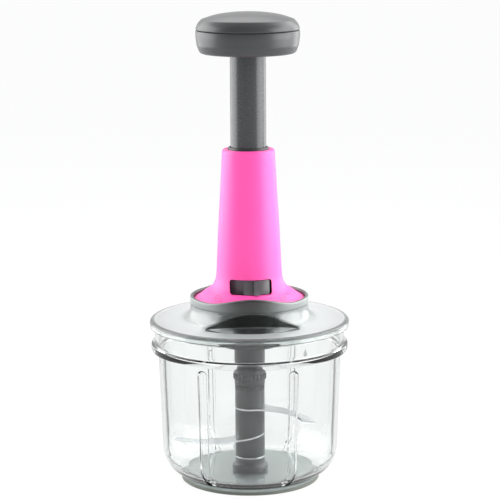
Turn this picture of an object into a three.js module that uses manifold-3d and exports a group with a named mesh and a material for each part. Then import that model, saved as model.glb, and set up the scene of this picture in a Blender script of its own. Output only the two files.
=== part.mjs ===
// A plunger food chopper: a clear bowl with a blade column on a pin, a clear lid that carries a
// tower, and a spring-loaded plunger whose nut turns a twisted spindle as it goes down.
// Millimetres, +Z up, the ground at zero, the front of the object towards -Y.
import * as THREE from "three";
import { mergeVertices } from "three/addons/utils/BufferGeometryUtils.js";
import Module from "manifold-3d";

const wasm = await Module();
wasm.setup();

// Clearances
const fit = {
  seat: 0.3, // between pieces that rest on each other
  seam: 0.15, // between pieces that are stacked or pressed together
  run: 0.35, // between pieces that slide or turn in each other
  twist: 0.6, // between the twisted spindle and its nut
  loose: 0.5, // between a shell and the collar that it stands in
  overrun: 3, // how far a cut runs past what it cuts
};

// Facets
const segments = { bowl: 40, round: 32, medium: 24, small: 16, screw: 10, blade: 8, tooth: 3, arc: 3 };
const smallEdge = 1.3; // corners of a smaller radius are single bevels
const cornerShare = 0.49; // of a side that the rounding of its corner may take
const mergeDistance = 0.0005; // points closer than this are one point

// Directions round the axis, counter-clockwise from +X
const FULL_TURN = 2 * Math.PI;
const QUARTER = Math.PI / 2;
const FRONT = -QUARTER;
const BACK = QUARTER;

// Non-slip pad under the bowl
const pad = { radius: 46.3, thickness: 2.2, edge: 0.8 };

// Bowl
const bowl = {
  height: 106.9,
  floor: 3.9,
  wall: 2.3,
  footRadius: 57.9, // where the wall's line would meet the underside
  draft: 3, // how much wider the wall is at the ledge
  neckDepth: 18.4, // from the mouth down to the ledge's underside
  corner: 20.5,
  innerCorner: 14,
  ledgeReach: 2.4, // beyond the collar
  ledgeThickness: 4.6,
  ledgeEdge: 1.1,
  collarReach: 2.1, // beyond the wall at the ledge
  mouthEdge: 0.8,
  turn: THREE.MathUtils.degToRad(-4.4), // of the ribs, from the lid's front
};
const rib = { count: 6, grooveWidth: 4.2, grooveDepth: 1.7, height: 1.8, side: 1.6, below: 4.5 };
const boss = { radius: 5, height: 3.4 };
const pin = { radius: 2.2, socket: 3 };

// Blade column
const column = {
  radius: 9.9,
  bore: 2.5,
  footRadius: 11.9,
  footRing: 1.7,
  footFlare: 1.4,
  footEdge: 0.5,
  spigotRadius: 6.2,
  spigotHeight: 3,
  serrations: 32,
  serrationHeight: 2.7,
  serrationDepth: 0.55,
  splineRadius: 6.4,
  splineDepth: 0.5,
  splineHeight: 13,
  lobes: 8,
};
const blade = { thickness: 1.1, hubHole: 6.5 };
// Each blade's outline in its own frame, pointing along +X with its cutting edge towards +Y.
// Its points are shares of the blade's reach along, and of its root width across. Its level is a
// share of the column's height, and its tip keeps a gap from the ribs.
const upperBlade = {
  levelShare: 0.7445,
  azimuth: THREE.MathUtils.degToRad(-25),
  tipGap: 2.6,
  width: 18,
  droop: 3.4,
  tilt: 0,
  edgeShares: [[0.08, 0.5], [0.67, 0.58], [0.975, -0.55]],
  backShares: [[0.1, -0.42], [0.62, 0], [0.82, -0.78]],
};
const middleBlade = {
  levelShare: 0.4326,
  azimuth: THREE.MathUtils.degToRad(177),
  tipGap: 1.2,
  width: 18,
  droop: -0.6,
  tilt: 0.24,
  edgeShares: [[0.04, 0.48], [0.68, 0.33], [0.995, -0.3]],
  backShares: [[0.1, -0.48], [0.6, -0.06], [0.95, -0.54]],
};
const lowerBlade = {
  levelShare: 0.2194,
  azimuth: THREE.MathUtils.degToRad(99),
  tipGap: 3.3,
  width: 17,
  droop: 0,
  tilt: 0,
  edgeShares: [[0.08, 0.5], [0.67, 0.5], [0.985, -0.24]],
  backShares: [[0.1, -0.44], [0.62, -0.06], [0.88, -0.5]],
};
const tiltFade = 9; // how far past the column a tilted blade bends back to level

// Lid
const lid = {
  wall: 2.1,
  rimReach: 3.4, // beyond the bowl's collar
  rimDepth: 4.8,
  rimCurve: 2.6,
  skirt: 1.8,
  locatorWall: 1.9,
  locatorDepth: 4.6,
  flareRadius: 50.5,
  bellHeight: 12.1,
  beadReach: 1.7, // of the collar, beyond the neck
  collarRadius: 39.5,
  collarHeight: 3.6,
  collarWall: 2.6,
  beadEdge: 1.1,
  hole: 8.2,
  crest: 5,
  crestRamp: 3.1,
  crestSpread: THREE.MathUtils.degToRad(50),
};
// Points of the bell's flare, from its foot up: radius from the neck to the foot, and height of the bell
const bellShares = [[1, 0], [0.53, 0.075], [0.22, 0.24], [0.08, 0.47], [0, 0.76], [0, 0.94]];
const scoop = { distance: 29, lean: 0.9, halfLength: 45, wall: 2.1 };

// Tower
const tower = {
  height: 100.9,
  wall: 2.2,
  topRadius: 17.3,
  topEdge: 1.8,
  topPlate: 2.6,
  waistRadius: 21,
  waistHeight: 33.9,
  hipRadius: 21.8,
  hipHeight: 17.1,
  footEdge: 1.2,
  strokeShare: 0.555, // of the height, which the plunger travels
};
// Points of the tower's flare, from the foot up to the hip: radius from the hip to the foot,
// and height from the foot's edge to the hip.
const flareShares = [[0.83, 0.085], [0.545, 0.287], [0.32, 0.41], [0.16, 0.555], [0.05, 0.76]];
// Points of the tower's body from the waist up: radius from the top to the waist, and height
const bodyShares = [[0.81, 0.22], [0.405, 0.58]];
const screwBoss = { radius: 3.4, height: 8, circle: 25.2, aside: THREE.MathUtils.degToRad(40) };
const channel = { rib: 1.8, above: 0.9 };

// Lock window and slider
const lockWindow = { width: 27.6, height: 9.6, bottom: 7.5, edge: 1.8 };
const slider = { width: 17.2, sideGap: 1.5, gap: 0.5, edge: 1.2, recess: 0.9 };
const ridge = { width: 3.6, height: 1.9 };
const lock = {
  outer: 19.1,
  inner: 15.9,
  height: 15.55,
  travel: THREE.MathUtils.degToRad(18),
  lugWidth: 3.2,
  lugHeight: 2.4,
  lugReach: 13.8,
};

// Guide bush
const bush = { lipRadius: 13.4, lipHeight: 1.3, flangeRadius: 14.5, flange: 2, wall: 1.6 };

// Plunger
const tube = {
  radius: 11.75,
  wall: 2,
  spare: 5.3, // between the knob and the bush's lip at the end of the stroke
  flange: 1.6,
  flangeHeight: 2.4,
  earReach: 3.4,
  earWidth: 5,
  earHeight: 12,
  notchFrom: 2.6,
  topFlange: 17,
  topThickness: 2.2,
};
const nut = { height: 12, above: 28, shoulder: 1.6, shoulderHeight: 2, key: 2.4, keyDepth: 1 };

// Knob
const knob = {
  height: 26.8,
  bottomRadius: 31.2,
  seamRadius: 34,
  seamHeight: 15.1,
  bottomEdge: 3.4,
  seamEdge: 0.9,
  wall: 2.2,
  floor: 2.6,
  hubRadius: 20.5,
  hubHeight: 5.6,
  snapWall: 1.6,
  snapDepth: 4,
  pressWall: 1.6,
};
// Points of the knob's cap from the seam to the apex: radius of the seam, and height of the cap
const capShares = [[0.982, 0.145], [0.947, 0.316], [0.888, 0.58], [0.632, 0.846], [0.294, 0.974], [0, 1]];

// Twisted spindle
const spindle = {
  lead: 42,
  radius: 5.7,
  lobe: 1,
  lobes: 4,
  lobeSteps: 16,
  aboveNut: 3.5,
  sliceHeight: 4.2,
  shaftRadius: 5.4,
  collarRadius: 9.2,
  collarHeight: 2.2,
  keyRadius: 4.6,
  keyLobe: 0.5,
  pilotRadius: 3,
  pilotDepth: 7,
};

// Springs
const spring = { wire: 0.6, radius: 8.25, loops: 15, closedPitch: 1.8 };
const clutchSpring = { wire: 0.45, radius: 8.2, loops: 4, closedPitch: 1.4 };
const coil = { steps: 8, sides: 5 };

// Drive hub under the lid
const seatDisc = { radius: 21.5, thickness: 1.8, hole: 7.4, rimHeight: 1.2, rimWall: 1.2 };
const hub = {
  flangeRadius: 28.6,
  flange: 2.2,
  neckRadius: 12.6,
  neckBore: 9.9,
  drumRadius: 20,
  drumWall: 2.1,
  floorAbove: 8.4, // of the bearing floor's top, below the flange's top
  floor: 2,
  drumDepth: 14.4, // of the chamber, below the bearing floor
};
const washer = { thickness: 1, radius: 9.2 };
const cover = { radius: 21.4, thickness: 2.2, edge: 0.9 };
const sleeve = {
  length: 30.1, // below its flange
  radius: 10.2,
  flangeRadius: 15.4,
  flange: 2.6,
  socket: 15,
  ringRadius: 11.1,
  ringDepth: 0.5,
  ringTeeth: 24,
  ringFrom: 3.6,
  ringHeight: 3.8,
};
const clutch = { teeth: 8, toothHeight: 1.8, inner: 9.4, disc: 3.4, root: 0.6, toothShare: 0.94 };

// Screws
const towerScrew = { shank: 1.5, head: 2.9, headHeight: 2, length: 11 };
const hubScrew = { shank: 1.1, head: 2.1, headHeight: 1.2, length: 8, circle: 18.6, count: 3, boss: 2.5 };
const knobScrew = { shank: 1.3, head: 2.4, headHeight: 1.5, length: 6, circle: 14.4, count: 3 };

// Heights that follow from the sizes above
const bowlUnder = pad.thickness + fit.seat;
const floorTop = bowlUnder + bowl.floor;
const ledgeUnder = bowl.height - bowl.neckDepth;
const ledgeTop = ledgeUnder + bowl.ledgeThickness;
const neckRadius = bowl.footRadius + bowl.draft;
const collarRadius = neckRadius + bowl.collarReach;
const ledgeRadius = collarRadius + bowl.ledgeReach;
const rimRadius = collarRadius + lid.rimReach;
const lidNeckRadius = lid.collarRadius - lid.beadReach;
const collarInner = lid.collarRadius - lid.collarWall;
const towerFoot = collarInner - fit.loose;
const lidUnder = bowl.height + fit.seat;
const flangeTop = lidUnder + lid.wall;
const ceilingTop = flangeTop + lid.bellHeight;
const ceilingUnder = ceilingTop - lid.wall;
const towerBase = ceilingTop + fit.seat;
const towerTop = towerBase + tower.height;
const lipTop = towerTop + bush.lipHeight;
const stroke = tower.height * tower.strokeShare;
const knobBottom = lipTop + stroke + tube.spare;
const knobSeam = knobBottom + knob.seamHeight;
const knobTop = knobBottom + knob.height;
const seatTop = towerBase + seatDisc.thickness;
const lockBottom = seatTop + fit.seat;
const lugTop = lockBottom + lock.height;
const tubeBottom = lugTop - lock.lugHeight - fit.run - tube.notchFrom + stroke;
const earTop = tubeBottom + tube.earHeight;
const bushBottom = earTop + fit.seat;
const nutBottom = tubeBottom + nut.above;
const windowBottom = towerBase + lockWindow.bottom;
const windowTop = windowBottom + lockWindow.height;
const hubTop = ceilingUnder - fit.seat;
const hubFloorTop = hubTop - hub.floorAbove;
const hubFloorUnder = hubFloorTop - hub.floor;
const drumBottom = hubFloorUnder - hub.drumDepth;
const coverTop = drumBottom - fit.seat;
const coverUnder = coverTop - cover.thickness;
const sleeveFlangeUnder = coverTop + fit.seat;
const sleeveFlangeTop = sleeveFlangeUnder + sleeve.flange;
const driverUnder = sleeveFlangeTop + clutch.toothHeight + fit.seat;
const driverTop = driverUnder + clutch.disc;
const collarUnder = hubFloorTop + fit.seam + washer.thickness + fit.seam;
const footUnder = floorTop + fit.run;
const sleeveBottom = sleeveFlangeUnder - sleeve.length;
const columnTop = sleeveBottom - fit.seat;
const [upperLevel, middleLevel, lowerLevel] = [upperBlade, middleBlade, lowerBlade].map(
  ({ levelShare }) => columnTop * levelShare,
);
const pinTop = middleLevel;
const nutTop = nutBottom + nut.height;
const tubeTop = knobBottom + knob.hubHeight + fit.seat + tube.topThickness;
const hubFlangeUnder = hubTop - hub.flange;
const washerBottom = hubFloorTop + fit.seam;
const flangeRadius = tube.radius + tube.flange;

// Materials
const plastic = (color, roughness) => new THREE.MeshStandardMaterial({ color, roughness, metalness: 0 });
const clear = (color, opacity) =>
  new THREE.MeshStandardMaterial({ color, opacity, transparent: true, roughness: 0.08, metalness: 0 });
const metal = (color, roughness) => new THREE.MeshStandardMaterial({ color, roughness, metalness: 1 });
const clearBowl = () => clear(0xe6f1ee, 0.3);
const smokeLid = () => clear(0xc4cbcb, 0.5);
const pinkShell = () => plastic(0xff4fae, 0.45);
const greyPlastic = () => plastic(0x6c6e70, 0.5);
const darkPlastic = () => plastic(0x3b3e40, 0.45);
const columnPlastic = () => plastic(0x707375, 0.5);
const paleAcetal = () => plastic(0xd9dad6, 0.4);
const padRubber = () => plastic(0x9fa5a5, 0.8);
const bladeSteel = () => metal(0xd5d8da, 0.22);
const springSteel = () => metal(0xb4b8bc, 0.3);
const screwSteel = () => metal(0x9da1a5, 0.35);

// Outline through corners [x, y, radius], where each corner with a radius becomes an arc
function outline(corners) {
  const points = [];
  corners.forEach(([x, y, radius = 0], i) => {
    const corner = new THREE.Vector2(x, y);
    if (radius === 0) {
      points.push(corner);
      return;
    }
    const before = new THREE.Vector2(...corners.at(i - 1)).sub(corner);
    const after = new THREE.Vector2(...corners[(i + 1) % corners.length]).sub(corner);
    points.push(...cornerArc(corner, before, after, radius));
  });
  return points;
}

// Points of the arc that rounds a corner between two directions
function cornerArc(corner, before, after, radius) {
  const half = Math.abs(Math.atan2(before.cross(after), before.dot(after))) / 2;
  const longest = cornerShare * Math.min(before.length(), after.length());
  const reach = Math.min(radius / Math.tan(half), longest);
  const fitted = reach * Math.tan(half);
  const start = corner.clone().addScaledVector(before.clone().normalize(), reach);
  const end = corner.clone().addScaledVector(after.clone().normalize(), reach);
  const inward = before.clone().normalize().add(after.clone().normalize()).normalize();
  const centre = corner.clone().addScaledVector(inward, fitted / Math.sin(half));
  const from = start.sub(centre);
  const sweep = Math.atan2(from.cross(end.sub(centre)), from.dot(end));
  const steps = radius < smallEdge ? 1 : Math.max(2, Math.round((segments.arc * Math.abs(sweep)) / QUARTER));
  return Array.from({ length: steps + 1 }, (_, i) =>
    from.clone().rotateAround(new THREE.Vector2(), (sweep * i) / steps).add(centre),
  );
}

// Points of a circle about a centre
function circle(radius, steps, x = 0, y = 0) {
  return Array.from({ length: steps }, (_, i) => {
    const angle = (FULL_TURN * i) / steps;
    return new THREE.Vector2(x + radius * Math.cos(angle), y + radius * Math.sin(angle));
  });
}

// Points of a circle whose radius swells and shrinks once for each lobe
function lobed(radius, depth, lobes, steps) {
  return circle(1, steps).map((unit) => unit.multiplyScalar(radius + depth * Math.cos(lobes * unit.angle())));
}

// Points of a ring of straight teeth
function toothed(radius, depth, teeth) {
  return circle(radius, 2 * teeth).map((tip, i) => (i % 2 ? tip.setLength(radius - depth) : tip));
}

// Rectangle between two corners
function rectangle(left, bottom, right, top) {
  return outline([[left, bottom], [right, bottom], [right, top], [left, top]]);
}

// Solid of revolution of an outline in radius and height, which ends on the axis or closes on itself
function revolve(corners, steps = segments.round) {
  const profile = outline(corners);
  if (corners[0][0] > 0) profile.push(profile[0]);
  return new THREE.LatheGeometry(profile, steps).rotateX(QUARTER);
}

// Upright prism of an outline in plan
function prism(points, bottom, height, steps = 1) {
  const settings = { depth: height, steps, bevelEnabled: false };
  return new THREE.ExtrudeGeometry(new THREE.Shape(points), settings).translate(0, 0, bottom);
}

// Round rod or disc
function rod(radius, bottom, height, steps = segments.small) {
  return prism(circle(radius, steps), bottom, height);
}

// Round hole for a screw, placed on a circle
function screwHole(radius, bottom, height, circleRadius, azimuth) {
  return moved(rod(radius, bottom, height, segments.screw), circleRadius, azimuth);
}

// Slab with its outline in radius and height, centred on an azimuth
function radialSlab(points, width, azimuth) {
  return prism(points, -width / 2, width).rotateX(QUARTER).rotateZ(azimuth);
}

// Plate with its outline across and up, from one radius to another, facing an azimuth
function radialPlate(points, from, to, azimuth) {
  return prism(points, 0, to - from).rotateX(QUARTER).rotateZ(QUARTER).translate(from, 0, 0).rotateZ(azimuth);
}

// A shape moved out to a radius at an azimuth
function moved(geometry, radius, azimuth) {
  return geometry.translate(radius * Math.cos(azimuth), radius * Math.sin(azimuth), 0);
}

// A shape with each of its points changed by a rule
function reshaped(geometry, rule) {
  const place = geometry.getAttribute("position");
  const spot = new THREE.Vector3();
  for (let i = 0; i < place.count; i += 1) {
    rule(spot.fromBufferAttribute(place, i));
    place.setXYZ(i, spot.x, spot.y, spot.z);
  }
  return geometry;
}

// Azimuths of a ring of equal parts
function ring(count, start = 0) {
  return Array.from({ length: count }, (_, i) => start + (FULL_TURN * i) / count);
}

// A closed surface as a solid that can be joined and cut
function solid(geometry) {
  const bare = geometry.clone();
  bare.deleteAttribute("normal");
  bare.deleteAttribute("uv");
  const merged = mergeVertices(bare, mergeDistance);
  const vertProperties = merged.getAttribute("position").array;
  const triVerts = Uint32Array.from(merged.index.array);
  return new wasm.Manifold(new wasm.Mesh({ numProp: 3, vertProperties, triVerts }));
}

const joined = (...shapes) => shapes.map(asSolid).reduce((whole, next) => whole.add(next));
const cut = (base, ...tools) => tools.map(asSolid).reduce((rest, tool) => rest.subtract(tool), asSolid(base));
const shared = (...shapes) => shapes.map(asSolid).reduce((whole, next) => whole.intersect(next));

function asSolid(shape) {
  return shape.isBufferGeometry ? solid(shape) : shape;
}

// The surface of a solid as a geometry
function surface(shape) {
  const { vertProperties, triVerts, numProp } = asSolid(shape).getMesh();
  const geometry = new THREE.BufferGeometry();
  geometry.setAttribute("position", new THREE.BufferAttribute(vertProperties, numProp));
  geometry.setIndex(new THREE.BufferAttribute(triVerts, 1));
  return geometry;
}

// Adds a named mesh of a finished shape to a group
function addPiece(group, name, shape, material) {
  const geometry = surface(shape);
  geometry.computeVertexNormals();
  const mesh = new THREE.Mesh(geometry, material);
  mesh.name = name;
  group.add(mesh);
}

// Smooth step from 0 to 1 between two values
const ease = THREE.MathUtils.smoothstep;

// Radius of the bowl's outer wall at a height, less an inset
function wallRadius(height, inset = 0) {
  const slope = (neckRadius - bowl.footRadius) / (ledgeUnder - bowlUnder);
  return bowl.footRadius + slope * (height - bowlUnder) - inset;
}

// Bowl: a shell of revolution, with grooves outside that stand as ribs inside
function makeBowl() {
  const bossTop = floorTop + boss.height;
  const socket = pin.radius + fit.seam;
  const shell = revolve(
    [
      [0, bowlUnder],
      [bowl.footRadius, bowlUnder, bowl.corner],
      [neckRadius, ledgeUnder],
      [ledgeRadius, ledgeUnder + bowl.ledgeEdge / 2, bowl.ledgeEdge],
      [ledgeRadius, ledgeTop - bowl.ledgeEdge, bowl.ledgeEdge],
      [collarRadius, ledgeTop, bowl.ledgeEdge],
      [collarRadius, bowl.height, bowl.mouthEdge],
      [collarRadius - bowl.wall, bowl.height, bowl.mouthEdge],
      [collarRadius - bowl.wall, ledgeTop],
      [wallRadius(ledgeUnder, bowl.wall), ledgeUnder],
      [wallRadius(floorTop, bowl.wall), floorTop, bowl.innerCorner],
      [boss.radius, floorTop],
      [boss.radius, bossTop],
      [socket, bossTop],
      [socket, floorTop - pin.socket],
      [0, floorTop - pin.socket],
    ],
    segments.bowl,
  );
  const azimuths = ring(rib.count, FRONT + FULL_TURN / rib.count / 2 + bowl.turn);
  return cut(joined(shell, ...azimuths.map(ribBar)), ...azimuths.map(ribGroove));
}

// Upright outline with a round top, for a rib or its groove
function ribOutline(width, top) {
  const half = width / 2;
  return outline([[-half, -fit.overrun], [half, -fit.overrun], [half, top, half], [-half, top, half]]);
}

// Bar that stands inside the bowl's wall and runs out in its floor
function ribBar(azimuth) {
  const top = ledgeUnder - rib.below + rib.side;
  const width = rib.grooveWidth + 2 * rib.side;
  const inside = bowl.wall + rib.height;
  const path = outline([
    [wallRadius(top, bowl.wall / 2), top],
    [wallRadius(top, inside), top],
    [wallRadius(floorTop + rib.height, inside), floorTop + rib.height, bowl.innerCorner - rib.height],
    [pad.radius - bowl.innerCorner, floorTop - bowl.wall / 2],
    [wallRadius(bowlUnder, bowl.wall / 2), bowlUnder + bowl.wall / 2, bowl.corner - bowl.wall / 2],
  ]);
  const bar = radialSlab(path, width, azimuth);
  const limit = radialPlate(ribOutline(width, top), 0, ledgeRadius, azimuth);
  return shared(bar, limit);
}

// Groove outside the bowl behind a rib, from near its collar to the edge of the pad
function ribGroove(azimuth) {
  const top = ledgeUnder - rib.below;
  const outside = ledgeRadius + fit.overrun;
  const end = pad.radius + fit.seat;
  const path = outline([
    [end, bowlUnder - fit.overrun],
    [outside, bowlUnder - fit.overrun],
    [outside, top + fit.overrun],
    [wallRadius(top + fit.overrun, rib.grooveDepth), top + fit.overrun],
    [wallRadius(bowlUnder, rib.grooveDepth), bowlUnder + rib.grooveDepth, bowl.corner - rib.grooveDepth],
    [end, bowlUnder + rib.grooveDepth],
  ]);
  const limit = radialPlate(ribOutline(rib.grooveWidth, top), 0, outside + fit.overrun, azimuth);
  return shared(radialSlab(path, rib.grooveWidth, azimuth), limit);
}

function makePad() {
  return revolve([
    [0, 0],
    [pad.radius, 0, pad.edge],
    [pad.radius, pad.thickness, pad.edge],
    [0, pad.thickness],
  ]);
}

function makePin() {
  const bottom = floorTop - pin.socket + fit.seam;
  return revolve(
    [[0, bottom], [pin.radius, bottom], [pin.radius, pinTop, pin.radius / 2], [0, pinTop]],
    segments.small,
  );
}

// A column piece: a ring round the pin with a spigot above it, which enters the next piece
function columnRing(bottom, top, spigotTop) {
  const outer = [
    [0, bottom],
    [column.radius, bottom],
    [column.radius, top],
    [column.spigotRadius, top],
    [column.spigotRadius, spigotTop],
    [0, spigotTop],
  ];
  return revolve(outer, segments.medium);
}

// Bore for the pin
const pinBore = () => rod(column.bore, 0, pinTop + fit.seat);

// Socket in the underside of a column piece, for the spigot of the one below
const spigotSocket = (top) => rod(column.spigotRadius + fit.seam, 0, top + fit.seam, segments.medium);

function makeColumnFoot() {
  const flareTop = footUnder + column.footRing + column.footFlare;
  const top = lowerLevel - fit.seam;
  const flare = revolve(
    [
      [0, footUnder],
      [column.footRadius, footUnder, column.footEdge],
      [column.footRadius, footUnder + column.footRing, column.footEdge],
      [column.radius, flareTop],
      [0, flareTop],
    ],
    segments.medium,
  );
  const body = columnRing(footUnder, top, top + column.spigotHeight);
  const bossRoom = rod(boss.radius + fit.run, 0, floorTop + boss.height + fit.run);
  return cut(joined(body, flare), bossRoom, pinBore());
}

// Everything on one side of the plane in which a tilted blade's hub lies
function tiltedSpace(turn, level, side) {
  const far = column.footRadius;
  const rise = turn.tilt * far;
  const edge = level + side * (rise + column.spigotHeight + column.radius);
  const points = [[-far, level + rise], [far, level - rise], [far, edge], [-far, edge]];
  return radialSlab(points.map(([x, y]) => new THREE.Vector2(x, y)), 2 * far, turn.azimuth);
}

function makeLowerSpacer() {
  const bottom = lowerLevel + blade.thickness + fit.seam;
  const tip = middleLevel + blade.thickness + middleBlade.tilt * column.radius + column.spigotHeight;
  const stem = rod(column.spigotRadius, bottom, tip - bottom, segments.medium);
  const body = cut(
    rod(column.radius, bottom, tip - bottom, segments.medium),
    tiltedSpace(middleBlade, middleLevel - fit.seam, 1),
  );
  const below = lowerLevel - fit.seam + column.spigotHeight;
  return cut(joined(body, stem), spigotSocket(below), pinBore());
}

function makeMiddleSpacer() {
  const bottom = middleLevel - column.radius;
  const top = upperLevel - fit.seam;
  const tip = middleLevel + blade.thickness + middleBlade.tilt * column.radius + column.spigotHeight;
  const body = revolve(
    [
      [0, bottom],
      [column.radius, bottom],
      [column.radius, top],
      [column.spigotRadius, top],
      [column.spigotRadius, top + column.spigotHeight],
      [0, top + column.spigotHeight],
    ],
    segments.medium,
  );
  const under = middleLevel + blade.thickness + fit.seam;
  return cut(body, tiltedSpace(middleBlade, under, -1), spigotSocket(tip));
}

function makeColumnTop() {
  const bottom = upperLevel + blade.thickness + fit.seam;
  const crown = columnTop - column.serrationHeight;
  const teeth = toothed(column.radius, column.serrationDepth, column.serrations);
  const spline = lobed(column.splineRadius, column.splineDepth, column.lobes, segments.round);
  const socketTop = upperLevel - fit.seam + column.spigotHeight;
  return cut(
    joined(
      rod(column.radius, bottom, crown - bottom, segments.medium),
      prism(teeth, crown, column.serrationHeight),
      prism(spline, crown, column.serrationHeight + column.splineHeight),
    ),
    spigotSocket(socketTop),
  );
}

// Blade: a hub disc and an arm between two curved edges, bent and turned to its place
function makeBlade(form, level) {
  const reach = bowl.footRadius - bowl.wall - rib.height - form.tipGap;
  const curves = [form.edgeShares, form.backShares].map((shares) => {
    const points = shares.map(([along, across]) => new THREE.Vector2(along * reach, across * form.width));
    return new THREE.QuadraticBezierCurve(...points);
  });
  const grid = new THREE.BoxGeometry(reach, form.width, blade.thickness, segments.blade);
  const arm = reshaped(grid, (spot) => {
    const curve = curves[spot.y > 0 ? 0 : 1];
    const point = curve.getPoint(spot.x / reach + 1 / 2);
    spot.set(point.x, point.y, spot.z + blade.thickness / 2);
  });
  const disc = rod(column.radius, 0, blade.thickness, segments.medium);
  const hole = rod(blade.hubHole, -fit.overrun, blade.thickness + 2 * fit.overrun, segments.medium);
  const flat = surface(cut(joined(disc, arm), hole));
  return reshaped(flat, (spot) => bendBlade(spot, form, reach)).rotateZ(form.azimuth).translate(0, 0, level);
}

// Lowers a blade's arm towards its tip, and tilts its hub along the arm
function bendBlade(spot, form, reach) {
  const past = Math.max(0, spot.x - column.radius);
  const along = Math.min(spot.x, column.radius) + tiltFade * (1 - Math.exp(-past / tiltFade));
  const share = past / (reach - column.radius);
  spot.z -= form.tilt * along + form.droop * share * share;
}

// A curve moved to its inner side by a distance, as seen while going up the outside
function inset(points, distance) {
  return points.map((point, i) => {
    const from = points[Math.max(i - 1, 0)];
    const to = points[Math.min(i + 1, points.length - 1)];
    const along = new THREE.Vector2(to[0] - from[0], to[1] - from[1]).setLength(distance);
    return [point[0] - along.y, point[1] + along.x];
  });
}

// Outer curve of the bell, from the foot of its flare to its neck
function bellCurve() {
  const flare = lid.flareRadius - lidNeckRadius;
  return bellShares.map(([out, up]) => [lidNeckRadius + out * flare, flangeTop + up * lid.bellHeight]);
}

// Raises the collar's ring to a crest at the front and at the back
function raiseCrest(spot) {
  if (spot.z <= ceilingTop) return;
  const fromFrontOrBack = Math.abs(Math.atan2(spot.x, Math.abs(spot.y)));
  const share = Math.min(1, fromFrontOrBack / lid.crestSpread);
  const fade = Math.cos(share * QUARTER) ** 2;
  spot.z += lid.crest * fade * ease(spot.z, ceilingTop, ceilingTop + lid.crestRamp);
}

// Lid: a rim, a flange, a bell with a ceiling and a collar, and a finger scoop at front and back
function makeLid() {
  const bell = bellCurve();
  const inside = inset(bell, lid.wall).filter(([, height]) => height < ceilingUnder);
  const locatorOuter = collarRadius - bowl.wall - fit.seat;
  const locatorInner = locatorOuter - lid.locatorWall;
  const rimBottom = flangeTop - lid.rimDepth;
  const collarTop = ceilingTop + lid.collarHeight;
  const shell = revolve(
    [
      [lid.hole, ceilingUnder],
      [lidNeckRadius - lid.wall, ceilingUnder],
      ...inside.reverse(),
      [locatorInner, lidUnder],
      [locatorInner, lidUnder - lid.locatorDepth],
      [locatorOuter, lidUnder - lid.locatorDepth],
      [locatorOuter, lidUnder],
      [rimRadius - lid.skirt, lidUnder],
      [rimRadius - lid.skirt, rimBottom],
      [rimRadius, rimBottom],
      [rimRadius, flangeTop, lid.rimCurve],
      ...bell,
      [lid.collarRadius, ceilingTop],
      [lid.collarRadius, collarTop, lid.beadEdge],
      [collarInner, collarTop, lid.beadEdge],
      [collarInner, ceilingTop],
      [lid.hole, ceilingTop],
    ],
    segments.bowl,
  );
  const outside = [[0, lidUnder], [lid.flareRadius, lidUnder], ...bell, [0, ceilingTop]];
  const filled = revolve(outside, segments.bowl);
  const lean = Math.hypot(1, scoop.lean) * scoop.wall;
  const back = [FRONT, BACK].map((azimuth) => scoopWedge(azimuth, scoop.distance - lean, lidUnder));
  const hollow = [FRONT, BACK].map((azimuth) => scoopWedge(azimuth, scoop.distance, flangeTop));
  const holeRadius = towerScrew.shank + fit.run;
  const holeHeight = 2 * fit.overrun + lid.wall;
  const holes = screwPlaces().map((azimuth) =>
    screwHole(holeRadius, ceilingUnder - fit.overrun, holeHeight, screwBoss.circle, azimuth),
  );
  return cut(joined(reshaped(shell, raiseCrest), shared(filled, joined(...back))), ...hollow, ...holes);
}

// Everything outside a plane that leans away from the axis, above a floor
function scoopWedge(azimuth, distance, floor) {
  const top = flangeTop + lid.bellHeight;
  const at = (height) => distance + scoop.lean * (height - flangeTop);
  const far = lid.flareRadius + fit.overrun;
  const points = [[at(floor), floor], [far, floor], [far, top], [at(top), top]];
  return radialSlab(points.map(([x, y]) => new THREE.Vector2(x, y)), 2 * scoop.halfLength, azimuth);
}

// Azimuths of the tower's screws, to both sides of +X and of -X
function screwPlaces() {
  return [screwBoss.aside, Math.PI - screwBoss.aside, Math.PI + screwBoss.aside, -screwBoss.aside];
}

// Outer curve of the tower, from its foot to its top
function towerCurve() {
  const foot = towerBase + tower.footEdge;
  const hip = towerBase + tower.hipHeight;
  const waist = towerBase + tower.waistHeight;
  const spread = towerFoot - tower.hipRadius;
  const narrowing = tower.waistRadius - tower.topRadius;
  return [
    [towerFoot, towerBase],
    [towerFoot, foot],
    ...flareShares.map(([out, up]) => [tower.hipRadius + out * spread, foot + up * (hip - foot)]),
    [tower.hipRadius, hip],
    [tower.waistRadius, waist],
    ...bodyShares.map(([out, up]) => [tower.topRadius + out * narrowing, waist + up * (towerTop - waist)]),
    [tower.topRadius, towerTop, tower.topEdge],
  ];
}

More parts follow.
